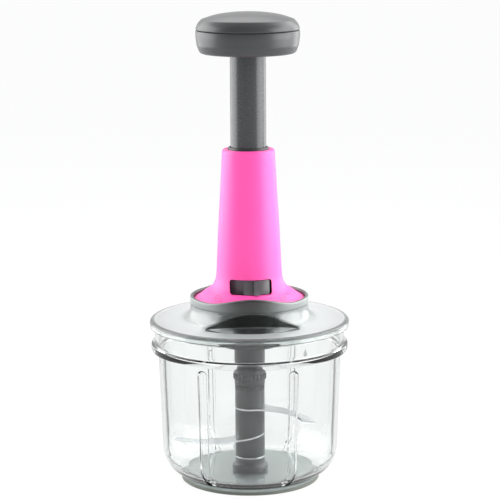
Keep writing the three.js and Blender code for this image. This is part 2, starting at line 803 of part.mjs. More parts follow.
// Tower: a trumpet-shaped shell with a top plate, screw bosses, guide ribs and the lock's window
function makeTower() {
  const curve = towerCurve();
  const plateUnder = towerTop - tower.topPlate;
  const opening = bush.lipRadius + fit.seat;
  const inside = inset(curve, tower.wall).slice(2, -1);
  const innerFoot = [inside[0][0], towerBase];
  const innerTop = [tower.topRadius - tower.wall, plateUnder];
  const shell = revolve([
    innerFoot,
    ...curve,
    [opening, towerTop],
    [opening, plateUnder],
    innerTop,
    ...inside.reverse(),
  ]);
  const core = inset(curve, tower.wall / 2).slice(2, -1);
  const coreFoot = [core[0][0], towerBase];
  const filled = revolve([[0, towerBase], coreFoot, ...core, innerTop, [0, plateUnder]]);
  const bosses = screwPlaces().map((azimuth) =>
    moved(rod(screwBoss.radius, towerBase, screwBoss.height), screwBoss.circle, azimuth),
  );
  const holeRadius = towerScrew.shank + fit.seam;
  const holeBottom = towerBase - fit.overrun;
  const holeHeight = hubFlangeUnder + towerScrew.length + fit.seat - holeBottom;
  const holes = screwPlaces().map((azimuth) =>
    screwHole(holeRadius, holeBottom, holeHeight, screwBoss.circle, azimuth),
  );
  const half = lockWindow.width / 2;
  const edge = lockWindow.edge;
  const face = outline([
    [-half, windowBottom, edge],
    [half, windowBottom, edge],
    [half, windowTop, edge],
    [-half, windowTop, edge],
  ]);
  const opened = radialPlate(face, tube.radius, towerFoot, FRONT);
  return cut(joined(shell, shared(filled, joined(...bosses, ...guideRibs()))), ...holes, opened);
}

// Pairs of ribs that keep the plunger's ears from turning
function guideRibs() {
  const bottom = lugTop + channel.above;
  const height = bushBottom - fit.seat - bottom;
  const inner = flangeRadius + fit.run;
  const near = tube.earWidth / 2 + fit.run;
  const sides = [[near, near + channel.rib], [-near - channel.rib, -near]];
  const bars = sides.map(([from, to]) => rectangle(inner, from, tower.hipRadius, to));
  return ring(2).flatMap((azimuth) => bars.map((bar) => prism(bar, bottom, height).rotateZ(azimuth)));
}

// Guide bush: a lip above the tower's top, a flange below it and a sleeve that stops the plunger
function makeGuideBush() {
  const bore = tube.radius + fit.run;
  const plateUnder = towerTop - tower.topPlate - fit.seat;
  return revolve(
    [
      [bore, bushBottom],
      [bore + bush.wall, bushBottom],
      [bore + bush.wall, plateUnder - bush.flange],
      [bush.flangeRadius, plateUnder - bush.flange],
      [bush.flangeRadius, plateUnder],
      [bush.lipRadius, plateUnder],
      [bush.lipRadius, lipTop, bush.lipHeight / 2],
      [bore, lipTop],
    ],
    segments.medium,
  );
}

// Lock ring: it turns round the plunger, and its two lugs enter the notches of the ears
function makeLockRing() {
  const band = revolve(
    [
      [lock.inner, lockBottom],
      [lock.outer, lockBottom],
      [lock.outer, lugTop],
      [lock.inner, lugTop],
    ],
    segments.medium,
  );
  const half = lock.lugWidth / 2;
  const root = (lock.inner + lock.outer) / 2;
  const face = rectangle(lock.lugReach, -half, root, half);
  const lugs = ring(2, lock.travel).map((azimuth) =>
    prism(face, lugTop - lock.lugHeight, lock.lugHeight).rotateZ(azimuth),
  );
  return joined(band, ...lugs);
}

// Slider: a grip that follows the tower's flare, with an upright ridge
function makeLockSlider() {
  const centre = lockWindow.width / 2 - slider.sideGap - slider.width / 2;
  const bottom = windowBottom + slider.gap;
  const top = windowTop - slider.gap;
  const part = (width, edge, proud) => {
    const [left, right] = [centre - width / 2, centre + width / 2];
    const corners = [[left, bottom], [right, bottom], [right, top], [left, top]];
    const face = outline(corners.map((corner) => [...corner, edge]));
    const curve = inset(towerCurve(), -proud).slice(2, -2);
    const inner = lock.outer + fit.seam;
    const first = [inner, curve[0][1]];
    const last = [inner, curve.at(-1)[1]];
    return shared(revolve([first, ...curve, last]), radialPlate(face, 0, towerFoot, FRONT));
  };
  const grip = part(slider.width, slider.edge, -slider.recess);
  return joined(grip, part(ridge.width, 0, ridge.height - slider.recess));
}

// Plunger tube: ears with lock notches at its lower end, a shoulder for the nut and a top flange
function makePlungerTube() {
  const bore = tube.radius - tube.wall;
  const shoulderBottom = nutTop + fit.seat;
  const shoulderTop = shoulderBottom + nut.shoulderHeight;
  const flangeUnder = tubeTop - tube.topThickness;
  const pipe = revolve(
    [
      [bore, tubeBottom],
      [flangeRadius, tubeBottom],
      [flangeRadius, tubeBottom + tube.flangeHeight],
      [tube.radius, tubeBottom + tube.flangeHeight],
      [tube.radius, flangeUnder],
      [tube.topFlange, flangeUnder],
      [tube.topFlange, tubeTop],
      [bore, tubeTop],
      [bore, shoulderTop],
      [bore - nut.shoulder, shoulderTop],
      [bore - nut.shoulder, shoulderBottom],
      [bore, shoulderBottom],
    ],
    segments.medium,
  );
  const half = tube.earWidth / 2;
  const middle = tube.radius - tube.wall / 2;
  const reach = tube.radius + tube.earReach;
  const ears = ring(2).map((azimuth) =>
    prism(rectangle(middle, -half, reach, half), tubeBottom, tube.earHeight).rotateZ(azimuth),
  );
  const notchHeight = lock.lugHeight + 2 * fit.run;
  const notchFace = rectangle(flangeRadius, -tube.earWidth, reach + fit.overrun, tube.earWidth);
  const notches = ring(2).map((azimuth) =>
    prism(notchFace, tubeBottom + tube.notchFrom, notchHeight).rotateZ(azimuth),
  );
  const slot = nut.key / 2 + fit.seam;
  const slotFace = rectangle(bore - nut.shoulder, -slot, bore + nut.keyDepth + fit.seam, slot);
  const slotBottom = tubeBottom - fit.overrun;
  const slots = ring(2, FRONT).map((azimuth) =>
    prism(slotFace, slotBottom, nutTop - slotBottom).rotateZ(azimuth),
  );
  const holeRadius = knobScrew.shank + fit.run;
  const screwHoles = ring(knobScrew.count, FRONT).map((azimuth) =>
    screwHole(holeRadius, flangeUnder - fit.overrun, 3 * fit.overrun, knobScrew.circle, azimuth),
  );
  return cut(joined(pipe, ...ears), ...notches, ...slots, ...screwHoles);
}

// A prism of lobed section that twists with the spindle's lead
function twistedRod(radius, bottom, height) {
  const section = lobed(radius, spindle.lobe, spindle.lobes, spindle.lobeSteps);
  const steps = Math.round(height / spindle.sliceHeight);
  const axis = new THREE.Vector3(0, 0, 1);
  return reshaped(prism(section, bottom, height, steps), (spot) =>
    spot.applyAxisAngle(axis, (FULL_TURN * spot.z) / spindle.lead),
  );
}

// Drive nut: its lobed bore follows the twisted spindle
function makeDriveNut() {
  const radius = tube.radius - tube.wall - fit.seam;
  const half = nut.key / 2;
  const keyEnd = radius + nut.keyDepth;
  const keys = ring(2, FRONT).map((azimuth) =>
    prism(rectangle(spindle.radius, -half, keyEnd, half), nutBottom, nut.height).rotateZ(azimuth),
  );
  const bore = twistedRod(spindle.radius + fit.twist, nutBottom - fit.overrun, nut.height + 2 * fit.overrun);
  return cut(joined(rod(radius, nutBottom, nut.height, segments.medium), ...keys), bore);
}

// Spindle: a twisted rod on a shaft with a collar, a lobed key for the ratchet and a pilot
function makeSpindle() {
  const collarTop = collarUnder + spindle.collarHeight;
  const keyTop = hubFloorUnder - fit.seat;
  const keyBottom = sleeveFlangeTop + fit.seam;
  const rodBottom = seatTop - seatDisc.thickness;
  const rodTop = nutTop + spindle.aboveNut;
  const shaft = revolve(
    [
      [0, keyTop],
      [spindle.shaftRadius, keyTop],
      [spindle.shaftRadius, collarUnder],
      [spindle.collarRadius, collarUnder],
      [spindle.collarRadius, collarTop],
      [spindle.shaftRadius, collarTop],
      [spindle.shaftRadius, rodBottom + fit.run],
      [0, rodBottom + fit.run],
    ],
    segments.small,
  );
  const key = lobed(spindle.keyRadius, spindle.keyLobe, spindle.lobes, segments.small);
  const pilotBottom = keyBottom - spindle.pilotDepth;
  return joined(
    shaft,
    prism(key, keyBottom, keyTop - keyBottom + fit.run),
    rod(spindle.pilotRadius, pilotBottom, spindle.pilotDepth + fit.run),
    twistedRod(spindle.radius, rodBottom, rodTop - rodBottom),
  );
}

// One tooth of a crown, whose ramp runs round the axis between two heights at each of its ends
function rampTooth(azimuth, low, high) {
  const span = (FULL_TURN / clutch.teeth) * clutch.toothShare;
  const arc = (radius) =>
    Array.from({ length: segments.tooth + 1 }, (_, i) =>
      new THREE.Vector2(radius, 0).rotateAround(new THREE.Vector2(), (span * i) / segments.tooth),
    );
  const sector = [...arc(sleeve.flangeRadius), ...arc(clutch.inner).reverse()];
  return reshaped(prism(sector, 0, clutch.toothHeight), (spot) => {
    const share = Math.atan2(spot.y, spot.x) / span;
    const [start, end] = spot.z > 0 ? high : low;
    spot.z = THREE.MathUtils.lerp(start, end, share);
  }).rotateZ(azimuth);
}

// Drive sleeve: a lobed socket for the column, a ring of grip teeth and a crown of ratchet teeth
function makeDriveSleeve() {
  const ringBottom = sleeveBottom + sleeve.ringFrom;
  const barrel = revolve(
    [
      [0, sleeveBottom],
      [sleeve.radius, sleeveBottom],
      [sleeve.radius, sleeveFlangeUnder],
      [sleeve.flangeRadius, sleeveFlangeUnder],
      [sleeve.flangeRadius, sleeveFlangeTop],
      [0, sleeveFlangeTop],
    ],
    segments.medium,
  );
  const gripOutline = toothed(sleeve.ringRadius, sleeve.ringDepth, sleeve.ringTeeth);
  const grip = prism(gripOutline, ringBottom, sleeve.ringHeight);
  const socketRadius = column.splineRadius + fit.run;
  const socketOutline = lobed(socketRadius, column.splineDepth, column.lobes, segments.round);
  const socket = prism(socketOutline, sleeveBottom - fit.overrun, sleeve.socket + fit.overrun);
  const pilotBottom = sleeveFlangeTop - spindle.pilotDepth - fit.run;
  const pilot = rod(spindle.pilotRadius + fit.run, pilotBottom, spindle.pilotDepth + fit.overrun);
  const root = sleeveFlangeTop - clutch.root;
  const teeth = ring(clutch.teeth).map((azimuth) =>
    rampTooth(azimuth, [root, root], [sleeveFlangeTop, sleeveFlangeTop + clutch.toothHeight]),
  );
  return cut(joined(barrel, grip, ...teeth), socket, pilot);
}

// Ratchet driver: a crown that slides on the spindle's key and meets the sleeve's crown
function makeRatchetDriver() {
  const bore = lobed(spindle.keyRadius + fit.run, spindle.keyLobe, spindle.lobes, segments.small);
  const tip = sleeveFlangeTop + fit.seat;
  const root = driverUnder + clutch.root;
  const teeth = ring(clutch.teeth).map((azimuth) =>
    rampTooth(azimuth, [tip, tip + clutch.toothHeight], [root, root]),
  );
  const disc = rod(sleeve.flangeRadius, driverUnder, clutch.disc, segments.medium);
  return cut(joined(disc, ...teeth), prism(bore, tip, driverTop - tip + fit.overrun));
}

// Path of a coil spring whose first and last loops lie closer together
class CoilPath extends THREE.Curve {
  constructor(form, bottom, height) {
    super();
    Object.assign(this, { form, bottom, height });
  }

  getPoint(share, target = new THREE.Vector3()) {
    const { wire, radius, loops, closedPitch } = this.form;
    const turns = share * loops;
    const openPitch = (this.height - 2 * wire - 2 * closedPitch) / (loops - 2);
    const open = THREE.MathUtils.clamp(turns - 1, 0, loops - 2);
    const closed = turns - open;
    const height = this.bottom + wire + closedPitch * closed + openPitch * open;
    return target.set(radius, 0, height).applyAxisAngle(new THREE.Vector3(0, 0, 1), FULL_TURN * turns);
  }
}

// Coil spring of round wire
function makeSpring(form, bottom, height) {
  const section = new THREE.Shape(circle(form.wire, coil.sides));
  const extrudePath = new CoilPath(form, bottom, height);
  const steps = form.loops * coil.steps;
  return new THREE.ExtrudeGeometry(section, { steps, extrudePath, bevelEnabled: false });
}

// Spring seat: a disc with a rim round the spring's foot
function makeSpringSeat() {
  const rimInner = spring.radius + spring.wire + fit.run;
  const rimOuter = rimInner + seatDisc.rimWall;
  const rimTop = seatTop + seatDisc.rimHeight;
  return revolve(
    [
      [seatDisc.hole, towerBase],
      [seatDisc.radius, towerBase],
      [seatDisc.radius, seatTop],
      [rimOuter, seatTop],
      [rimOuter, rimTop],
      [rimInner, rimTop],
      [rimInner, seatTop],
      [seatDisc.hole, seatTop],
    ],
    segments.medium,
  );
}

// Hub housing: a flange under the lid's ceiling, a neck round the bearing and a drum round the ratchet
function makeHubHousing() {
  const drumInner = hub.drumRadius - hub.drumWall;
  const bore = spindle.shaftRadius + fit.run;
  const body = revolve(
    [
      [drumInner, drumBottom],
      [hub.drumRadius, drumBottom],
      [hub.drumRadius, hubFloorTop],
      [hub.neckRadius, hubFloorTop],
      [hub.neckRadius, hubFlangeUnder],
      [hub.flangeRadius, hubFlangeUnder],
      [hub.flangeRadius, hubTop],
      [hub.neckBore, hubTop],
      [hub.neckBore, hubFloorTop],
      [bore, hubFloorTop],
      [bore, hubFloorUnder],
      [drumInner, hubFloorUnder],
    ],
    segments.medium,
  );
  const places = ring(hubScrew.count, BACK);
  const bosses = places.map((azimuth) =>
    moved(rod(hubScrew.boss, drumBottom, hub.drumDepth + fit.seam), hubScrew.circle, azimuth),
  );
  const blindBottom = drumBottom - fit.overrun;
  const blindHeight = coverUnder + hubScrew.headHeight + hubScrew.length + fit.seat - blindBottom;
  const blind = places.map((azimuth) =>
    screwHole(hubScrew.shank + fit.seam, blindBottom, blindHeight, hubScrew.circle, azimuth),
  );
  const holeBottom = hubFlangeUnder - fit.overrun;
  const holeHeight = hub.flange + 2 * fit.overrun;
  const holes = screwPlaces().map((azimuth) =>
    screwHole(towerScrew.shank + fit.run, holeBottom, holeHeight, screwBoss.circle, azimuth),
  );
  return cut(joined(body, ...bosses), ...blind, ...holes);
}

// Flat ring between two radii
function flatRing(inner, outer, bottom, height) {
  const top = bottom + height;
  return revolve([[inner, bottom], [outer, bottom], [outer, top], [inner, top]], segments.medium);
}

// Hub cover: a disc that closes the drum and carries the drive sleeve
function makeHubCover() {
  const inner = sleeve.radius + fit.run;
  const disc = revolve([
    [inner, coverUnder],
    [cover.radius, coverUnder, cover.edge],
    [cover.radius, coverTop],
    [inner, coverTop],
  ]);
  const places = ring(hubScrew.count, BACK);
  const below = coverUnder - fit.overrun;
  const holes = places.map((azimuth) =>
    screwHole(hubScrew.shank + fit.run, below, 3 * fit.overrun, hubScrew.circle, azimuth),
  );
  const pocketHeight = hubScrew.headHeight + fit.seam + fit.overrun;
  const pockets = places.map((azimuth) =>
    screwHole(hubScrew.head + fit.run, below, pocketHeight, hubScrew.circle, azimuth),
  );
  return cut(disc, ...holes, ...pockets);
}

// Radius of the knob's side at a height, less an inset
function knobRadius(height, inset = 0) {
  const share = (height - knobBottom) / knob.seamHeight;
  return THREE.MathUtils.lerp(knob.bottomRadius, knob.seamRadius, share) - inset;
}

// Knob body: a cup with a floor and a hub that the tube's flange is screwed to
function makeKnobBody() {
  const hole = tube.radius + fit.seam;
  const inner = knobBottom + knob.floor;
  const hubHeight = knobBottom + knob.hubHeight;
  const cup = revolve([
    [hole, knobBottom],
    [knob.bottomRadius, knobBottom, knob.bottomEdge],
    [knob.seamRadius, knobSeam, knob.seamEdge],
    [knob.seamRadius - knob.wall, knobSeam],
    [knobRadius(inner, knob.wall), inner],
    [knob.hubRadius, inner],
    [knob.hubRadius, hubHeight],
    [hole, hubHeight],
  ]);
  const depth = knobScrew.length + fit.seat - tube.topThickness;
  const holes = ring(knobScrew.count, FRONT).map((azimuth) =>
    screwHole(knobScrew.shank + fit.seam, hubHeight - depth, depth + fit.overrun, knobScrew.circle, azimuth),
  );
  return cut(cup, ...holes);
}

// Knob cap: a dome with a snap skirt and a ring that presses on the plunger tube
function makeKnobCap() {
  const bottom = knobSeam + fit.seam;
  const rise = knobTop - bottom;
  const dome = [[1, 0], ...capShares].map(([out, up]) => [out * knob.seamRadius, bottom + up * rise]);
  const vault = inset(dome, knob.wall).slice(3).reverse();
  const skirtOuter = knobRadius(knobSeam - knob.snapDepth, knob.wall + fit.seat);
  const skirtInner = skirtOuter - knob.snapWall;
  const skirtBottom = knobSeam - knob.snapDepth;
  const apex = vault[0][1];
  const shell = revolve([
    [0, apex],
    ...vault.slice(1, -1),
    [skirtInner, vault.at(-1)[1]],
    [skirtInner, skirtBottom],
    [skirtOuter, skirtBottom],
    [skirtOuter, bottom],
    ...dome,
  ]);
  const pressInner = tube.radius - knob.pressWall;
  const press = flatRing(pressInner, tube.radius, tubeTop + fit.seam, apex + knob.wall / 2 - tubeTop);
  return joined(shell, press);
}

// Screw with its head below its shank and a hexagonal socket in the head
function makeScrew(form) {
  const turned = revolve(
    [
      [0, -form.headHeight],
      [form.head, -form.headHeight, form.headHeight / 2],
      [form.head, 0],
      [form.shank, 0],
      [form.shank, form.length],
      [0, form.length],
    ],
    segments.screw,
  );
  const depth = form.headHeight / 2;
  const key = prism(circle(form.head / 2, 6), -form.headHeight - fit.overrun, depth + fit.overrun);
  return surface(cut(turned, key));
}

// Adds equal screws at azimuths on a circle, their heads resting at a height
function addScrews(group, name, form, places, radius, height, flip = 0) {
  places.forEach((azimuth, i) => {
    const screw = moved(makeScrew(form).rotateX(flip), radius, azimuth).translate(0, 0, height);
    addPiece(group, `${name}_${i + 1}`, screw, screwSteel());
  });
}

// Bowl
const group = new THREE.Group();
group.name = "plunger_food_chopper";
addPiece(group, "bowl", makeBowl(), clearBowl());
addPiece(group, "base_pad", makePad(), padRubber());
addPiece(group, "pivot_pin", makePin(), screwSteel());

// Blade unit
addPiece(group, "column_foot", makeColumnFoot(), columnPlastic());
addPiece(group, "lower_blade", makeBlade(lowerBlade, lowerLevel), bladeSteel());
addPiece(group, "lower_spacer", makeLowerSpacer(), columnPlastic());
addPiece(group, "middle_blade", makeBlade(middleBlade, middleLevel), bladeSteel());
addPiece(group, "middle_spacer", makeMiddleSpacer(), columnPlastic());
addPiece(group, "upper_blade", makeBlade(upperBlade, upperLevel), bladeSteel());
addPiece(group, "column_top", makeColumnTop(), columnPlastic());

// Lid and tower
addPiece(group, "lid", makeLid(), smokeLid());
addPiece(group, "tower", makeTower(), pinkShell());
addPiece(group, "guide_bush", makeGuideBush(), darkPlastic());
addPiece(group, "spring_seat", makeSpringSeat(), paleAcetal());
const springBottom = seatTop + fit.seat;
const springHeight = nutBottom - fit.seat - springBottom;
addPiece(group, "return_spring", makeSpring(spring, springBottom, springHeight), springSteel());
addScrews(group, "tower_screw", towerScrew, screwPlaces(), screwBoss.circle, hubFlangeUnder - fit.seam);

// Lock
addPiece(group, "lock_ring", makeLockRing(), darkPlastic());
addPiece(group, "lock_slider", makeLockSlider(), darkPlastic());

// Plunger
addPiece(group, "plunger_tube", makePlungerTube(), greyPlastic());
addPiece(group, "drive_nut", makeDriveNut(), paleAcetal());
addPiece(group, "knob_body", makeKnobBody(), greyPlastic());
addPiece(group, "knob_cap", makeKnobCap(), greyPlastic());
const knobPlaces = ring(knobScrew.count, FRONT);
addScrews(group, "knob_screw", knobScrew, knobPlaces, knobScrew.circle, tubeTop + fit.seam, Math.PI);

// Drive under the lid
const bearingRadius = hub.neckBore - fit.seam;
const bearingBore = spindle.shaftRadius + fit.run;
const bearingBottom = collarUnder + spindle.collarHeight + fit.seat;
const washerRing = flatRing(bearingBore, washer.radius, washerBottom, washer.thickness);
const bearingRing = flatRing(bearingBore, bearingRadius, bearingBottom, hubTop - bearingBottom);
const ratchetSpringBottom = driverTop + fit.seat;
const ratchetSpringHeight = hubFloorUnder - fit.seat - ratchetSpringBottom;
addPiece(group, "spindle", makeSpindle(), screwSteel());
addPiece(group, "spindle_bearing", bearingRing, paleAcetal());
addPiece(group, "thrust_washer", washerRing, screwSteel());
addPiece(group, "hub_housing", makeHubHousing(), darkPlastic());
addPiece(group, "hub_cover", makeHubCover(), darkPlastic());
addPiece(group, "drive_sleeve", makeDriveSleeve(), darkPlastic());
addPiece(group, "ratchet_driver", makeRatchetDriver(), paleAcetal());
const ratchetSpring = makeSpring(clutchSpring, ratchetSpringBottom, ratchetSpringHeight);
addPiece(group, "ratchet_spring", ratchetSpring, springSteel());
const coverPlaces = ring(hubScrew.count, BACK);
addScrews(group, "hub_screw", hubScrew, coverPlaces, hubScrew.circle, coverUnder + hubScrew.headHeight);

export default group;
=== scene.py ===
# %% [markdown]
# # A plunger food chopper
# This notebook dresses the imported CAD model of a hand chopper: a clear bowl with a blade column, a
# smoke-grey lid, a pink trumpet-shaped tower and a grey plunger with a round palm knob. The CAD
# model is the frame: its pieces give every place and size, and the pieces made here keep to them.

# %% Load the frame and keep its box
import math

import bmesh
import bpy
from mathutils import Matrix, Vector


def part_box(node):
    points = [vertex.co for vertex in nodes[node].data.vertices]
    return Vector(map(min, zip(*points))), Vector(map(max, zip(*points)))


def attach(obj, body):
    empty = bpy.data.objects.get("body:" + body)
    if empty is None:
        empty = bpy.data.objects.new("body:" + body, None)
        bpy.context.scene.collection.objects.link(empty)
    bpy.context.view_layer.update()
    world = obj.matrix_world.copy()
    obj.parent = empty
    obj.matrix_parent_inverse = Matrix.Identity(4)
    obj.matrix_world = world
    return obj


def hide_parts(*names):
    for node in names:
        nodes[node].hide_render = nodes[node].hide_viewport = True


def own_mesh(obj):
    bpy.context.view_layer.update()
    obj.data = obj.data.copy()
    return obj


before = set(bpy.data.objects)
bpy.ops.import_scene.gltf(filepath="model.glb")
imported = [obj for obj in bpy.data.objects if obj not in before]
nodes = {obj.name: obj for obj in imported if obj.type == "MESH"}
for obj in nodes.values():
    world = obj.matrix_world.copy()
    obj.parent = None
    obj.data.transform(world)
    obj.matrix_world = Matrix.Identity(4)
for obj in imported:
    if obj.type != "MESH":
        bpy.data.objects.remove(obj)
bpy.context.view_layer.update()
MM = 0.001


def linked(name, data):
    """Makes an object of a mesh, a lamp or a camera, and puts it into the scene."""
    obj = bpy.data.objects.new(name, data)
    bpy.context.scene.collection.objects.link(obj)
    return obj


def as_object(name, bm):
    mesh = bpy.data.meshes.new(name)
    bm.to_mesh(mesh)
    bm.free()
    return linked(name, mesh)


# %% [markdown]
# ## Camera
# The outlines of the round pieces in the photograph are ellipses, and how open each one is tells how
# far below the lens it lies. That gives a long lens, 1.33 m from the axis, 0.41 m above the table,
# tilted down by about 11 degrees and hardly rolled. It stands 3 degrees to the left of the front.

# %% Camera
AZIMUTH = math.radians(-93)
DISTANCE = 1330 * MM
HEIGHT = 408.6 * MM
PITCH = math.radians(10.8)
ROLL = math.radians(-0.35)
FOCAL_PIXELS = 2046
IMAGE_PIXELS = 500
CENTRE_PIXELS = (249, 250)

camera_data = bpy.data.cameras.new("camera")
camera_data.sensor_width = 36
camera_data.lens = FOCAL_PIXELS / IMAGE_PIXELS * camera_data.sensor_width
camera_data.shift_x = (IMAGE_PIXELS / 2 - CENTRE_PIXELS[0]) / IMAGE_PIXELS
camera_data.shift_y = (CENTRE_PIXELS[1] - IMAGE_PIXELS / 2) / IMAGE_PIXELS
camera_data.clip_start = 0.05
camera_data.clip_end = 50
camera = linked("camera", camera_data)
place = Vector((DISTANCE * math.cos(AZIMUTH), DISTANCE * math.sin(AZIMUTH), HEIGHT))
turn = Matrix.Rotation(AZIMUTH + math.pi / 2, 4, "Z")
tilt = Matrix.Rotation(math.pi / 2 - PITCH, 4, "X")
roll = Matrix.Rotation(ROLL, 4, "Z")
camera.matrix_world = Matrix.Translation(place) @ turn @ tilt @ roll
bpy.context.scene.camera = camera
print("camera at", tuple(round(c / MM) for c in place), "lens", round(camera_data.lens, 1))

# %% [markdown]
# ## Shader maths in Python
# A finish is a small network of nodes. Placing nodes by hand in code is hard to read, so one class
# wraps a socket and lets it take part in ordinary arithmetic: `1 - wear * 0.3` adds the Math nodes
# that it needs. A second class holds one material, adds any other node, and sets the shader's sockets.

# %% A socket with arithmetic
class Field:
    """A value that varies over a surface."""

    def __init__(self, finish, socket):
        self.finish = finish
        self.socket = socket

    def maths(self, operation, *values):
        return self.finish.add("ShaderNodeMath", dict(enumerate(values)), operation=operation)

    def __add__(self, other):
        return self.maths("ADD", self, other)

    def __sub__(self, other):
        return self.maths("SUBTRACT", self, other)

    def __rsub__(self, other):
        return self.maths("SUBTRACT", other, self)

    def __mul__(self, other):
        return self.maths("MULTIPLY", self, other)

    def __truediv__(self, other):
        return self.maths("DIVIDE", self, other)

    def __pow__(self, other):
        return self.maths("POWER", self, other)

    __radd__ = __add__

    def larger(self, other):
        return self.maths("MAXIMUM", self, other)

    def smaller(self, other):
        return self.maths("MINIMUM", self, other)

    def size(self):
        return self.maths("ABSOLUTE", self)

    def step(self, low, high, out_low=0.0, out_high=1.0):
        """A smooth step from out_low to out_high, while this value goes from low to high."""
        inputs = {0: self, 1: low, 2: high, 3: out_low, 4: out_high}
        return self.finish.add("ShaderNodeMapRange", inputs, interpolation_type="SMOOTHSTEP")


# %% A material to build on
def linear(red, green, blue):
    """A colour written in screen values from 0 to 255, as the shader wants it."""
    shares = [c / 255 for c in (red, green, blue)]
    return tuple(c / 12.92 if c <= 0.04045 else ((c + 0.055) / 1.055) ** 2.4 for c in shares) + (1.0,)


def shaded(colour, factor):
    """The same colour, darker or lighter."""
    return tuple(min(1, c * factor) for c in colour[:3]) + (1,)


class Finish:
    """One material: a Principled shader and the nodes that feed it."""

    def __init__(self, name):
        self.material = bpy.data.materials.new(name)
        self.material.use_nodes = True
        self.tree = self.material.node_tree
        self.shader = self.tree.nodes["Principled BSDF"]
        self.output = self.tree.nodes["Material Output"]
        self.place = self.add("ShaderNodeTexCoord", {}, "Object")

    def add(self, kind, inputs, output=0, **settings):
        node = self.tree.nodes.new(kind)
        for key, value in settings.items():
            setattr(node, key, value)
        for key, value in inputs.items():
            self.feed(node.inputs[key], value)
        return Field(self, node.outputs[output])

    def feed(self, socket, value):
        if isinstance(value, Field):
            self.tree.links.new(value.socket, socket)
        else:
            socket.default_value = value

    def set(self, **values):
        for key, value in values.items():
            self.feed(self.shader.inputs[key.replace("_", " ").title().replace("Ior", "IOR")], value)
        return self

    def axes(self):
        """The place on the piece in millimetres: x, y and z."""
        scaled = self.add("ShaderNodeVectorMath", {0: self.place, "Scale": 1 / MM}, operation="SCALE")
        return [self.add("ShaderNodeSeparateXYZ", {0: scaled}, i) for i in range(3)]

    def noise(self, size, detail=2.0, stretch=(1, 1, 1), roughness=0.5):
        """Soft random values about 0.5, in patches of a size in millimetres."""
        scaled = self.add("ShaderNodeVectorMath", {0: self.place, 1: stretch}, operation="MULTIPLY")
        values = {"Vector": scaled, "Scale": 1 / (size * MM), "Detail": detail, "Roughness": roughness}
        return self.add("ShaderNodeTexNoise", values)

    def facing(self):
        """0 where the surface faces the eye, and 1 where it turns away."""
        return self.add("ShaderNodeLayerWeight", {"Blend": 0.5}, "Facing")

    def ray(self, kind):
        """1 for one kind of ray, and 0 for all others."""
        return self.add("ShaderNodeLightPath", {}, f"Is {kind} Ray")

    def blend(self, factor, first, second):
        """From one colour to another."""
        return self.add("ShaderNodeMix", {0: factor, 6: first, 7: second}, 2, data_type="RGBA")

    def mix(self, factor, first, second):
        """From one shader to another."""
        return self.add("ShaderNodeMixShader", {0: factor, 1: first, 2: second})

    def colour(self):
        """What feeds the shader's colour so far."""
        return Field(self, self.shader.inputs["Base Color"].links[0].from_socket)

    def surface(self):
        return Field(self, self.shader.outputs[0])

    def show(self, surface):
        self.feed(self.output.inputs["Surface"], surface)

    def bump(self, height, depth, strength=1.0):
        """Raises the surface by a height from 0 to 1, times a depth in millimetres."""
        values = {"Strength": strength, "Distance": depth * MM, "Height": height}
        self.feed(self.shader.inputs["Normal"], self.add("ShaderNodeBump", values, "Normal"))
        return self


# %% [markdown]
# ## Studio
# The photograph was lit from both sides and cut out on white: the middle of every grey piece is
# dark, and its edges are pale. So tall soft panels stand at both sides and, weaker, further back.
# One more hangs above, and the world gives an even fill. To the camera, and in reflections and
# glass, floor and world show white, so that no lamp has to be turned up for the background. Only
# what a glossy surface mirrors from behind the camera fades to grey.

# %% Floor and world
def backdrop_factor(finish, share):
    """1 for rays that see the backdrop as a picture, and 0 for those that carry its light."""
    return finish.ray("Camera").larger(finish.ray("Glossy")).larger(finish.ray("Transmission")) * share


floor_finish = Finish("floor_sheet")
floor_finish.set(base_color=(0.78, 0.78, 0.78, 1), roughness=0.7)
white = floor_finish.add("ShaderNodeEmission", {"Color": (1, 1, 1, 1), "Strength": 1.0})
floor_finish.show(floor_finish.mix(backdrop_factor(floor_finish, 0.93), floor_finish.surface(), white))

sheet = bmesh.new()
bmesh.ops.create_circle(sheet, cap_ends=True, segments=96, radius=14)
floor = as_object("floor", sheet)
floor.data.materials.append(floor_finish.material)

world = bpy.data.worlds.new("studio")
bpy.context.scene.world = world
world.use_nodes = True


class Sky(Finish):
    """The world's own network."""

    def __init__(self, world):
        self.tree = world.node_tree
        self.output = self.tree.nodes["World Output"]


sky = Sky(world)
fill = sky.add("ShaderNodeBackground", {"Color": (0.92, 0.95, 1.0, 1), "Strength": 0.82})
direction = sky.add("ShaderNodeTexCoord", {}, "Generated")
forward = (-math.cos(AZIMUTH), -math.sin(AZIMUTH), 0)
vectors = {0: direction, 1: forward}
ahead = sky.add("ShaderNodeVectorMath", vectors, "Value", operation="DOT_PRODUCT")
brightness = ahead.step(-0.5, 0.3, out_low=0.22).larger(1 - sky.ray("Glossy"))
picture = sky.add("ShaderNodeBackground", {"Color": (1, 1, 1, 1), "Strength": brightness})
sky.show(sky.mix(backdrop_factor(sky, 1.0), fill, picture))
bpy.context.scene.view_settings.view_transform = "Standard"
print("floor and world are set")

# %% Soft panels at both sides and above
AIM_HEIGHT = 0.17
UPRIGHT = {"distance": 0.9, "height": 0.35, "tall": 1.1}


def panel(name, azimuth, distance, height, width, tall, watts):
    """A soft rectangular lamp that faces a point on the axis. The azimuth is from the camera's side."""
    lamp = bpy.data.lights.new(name, "AREA")
    lamp.shape = "RECTANGLE"
    lamp.size = width
    lamp.size_y = tall
    lamp.energy = watts
    spot = linked(name, lamp)
    around = AZIMUTH + math.radians(azimuth)
    spot.location = (distance * math.cos(around), distance * math.sin(around), height)
    away = spot.location - Vector((0, 0, AIM_HEIGHT))
    spot.rotation_euler = away.to_track_quat("Z", "Y").to_euler()


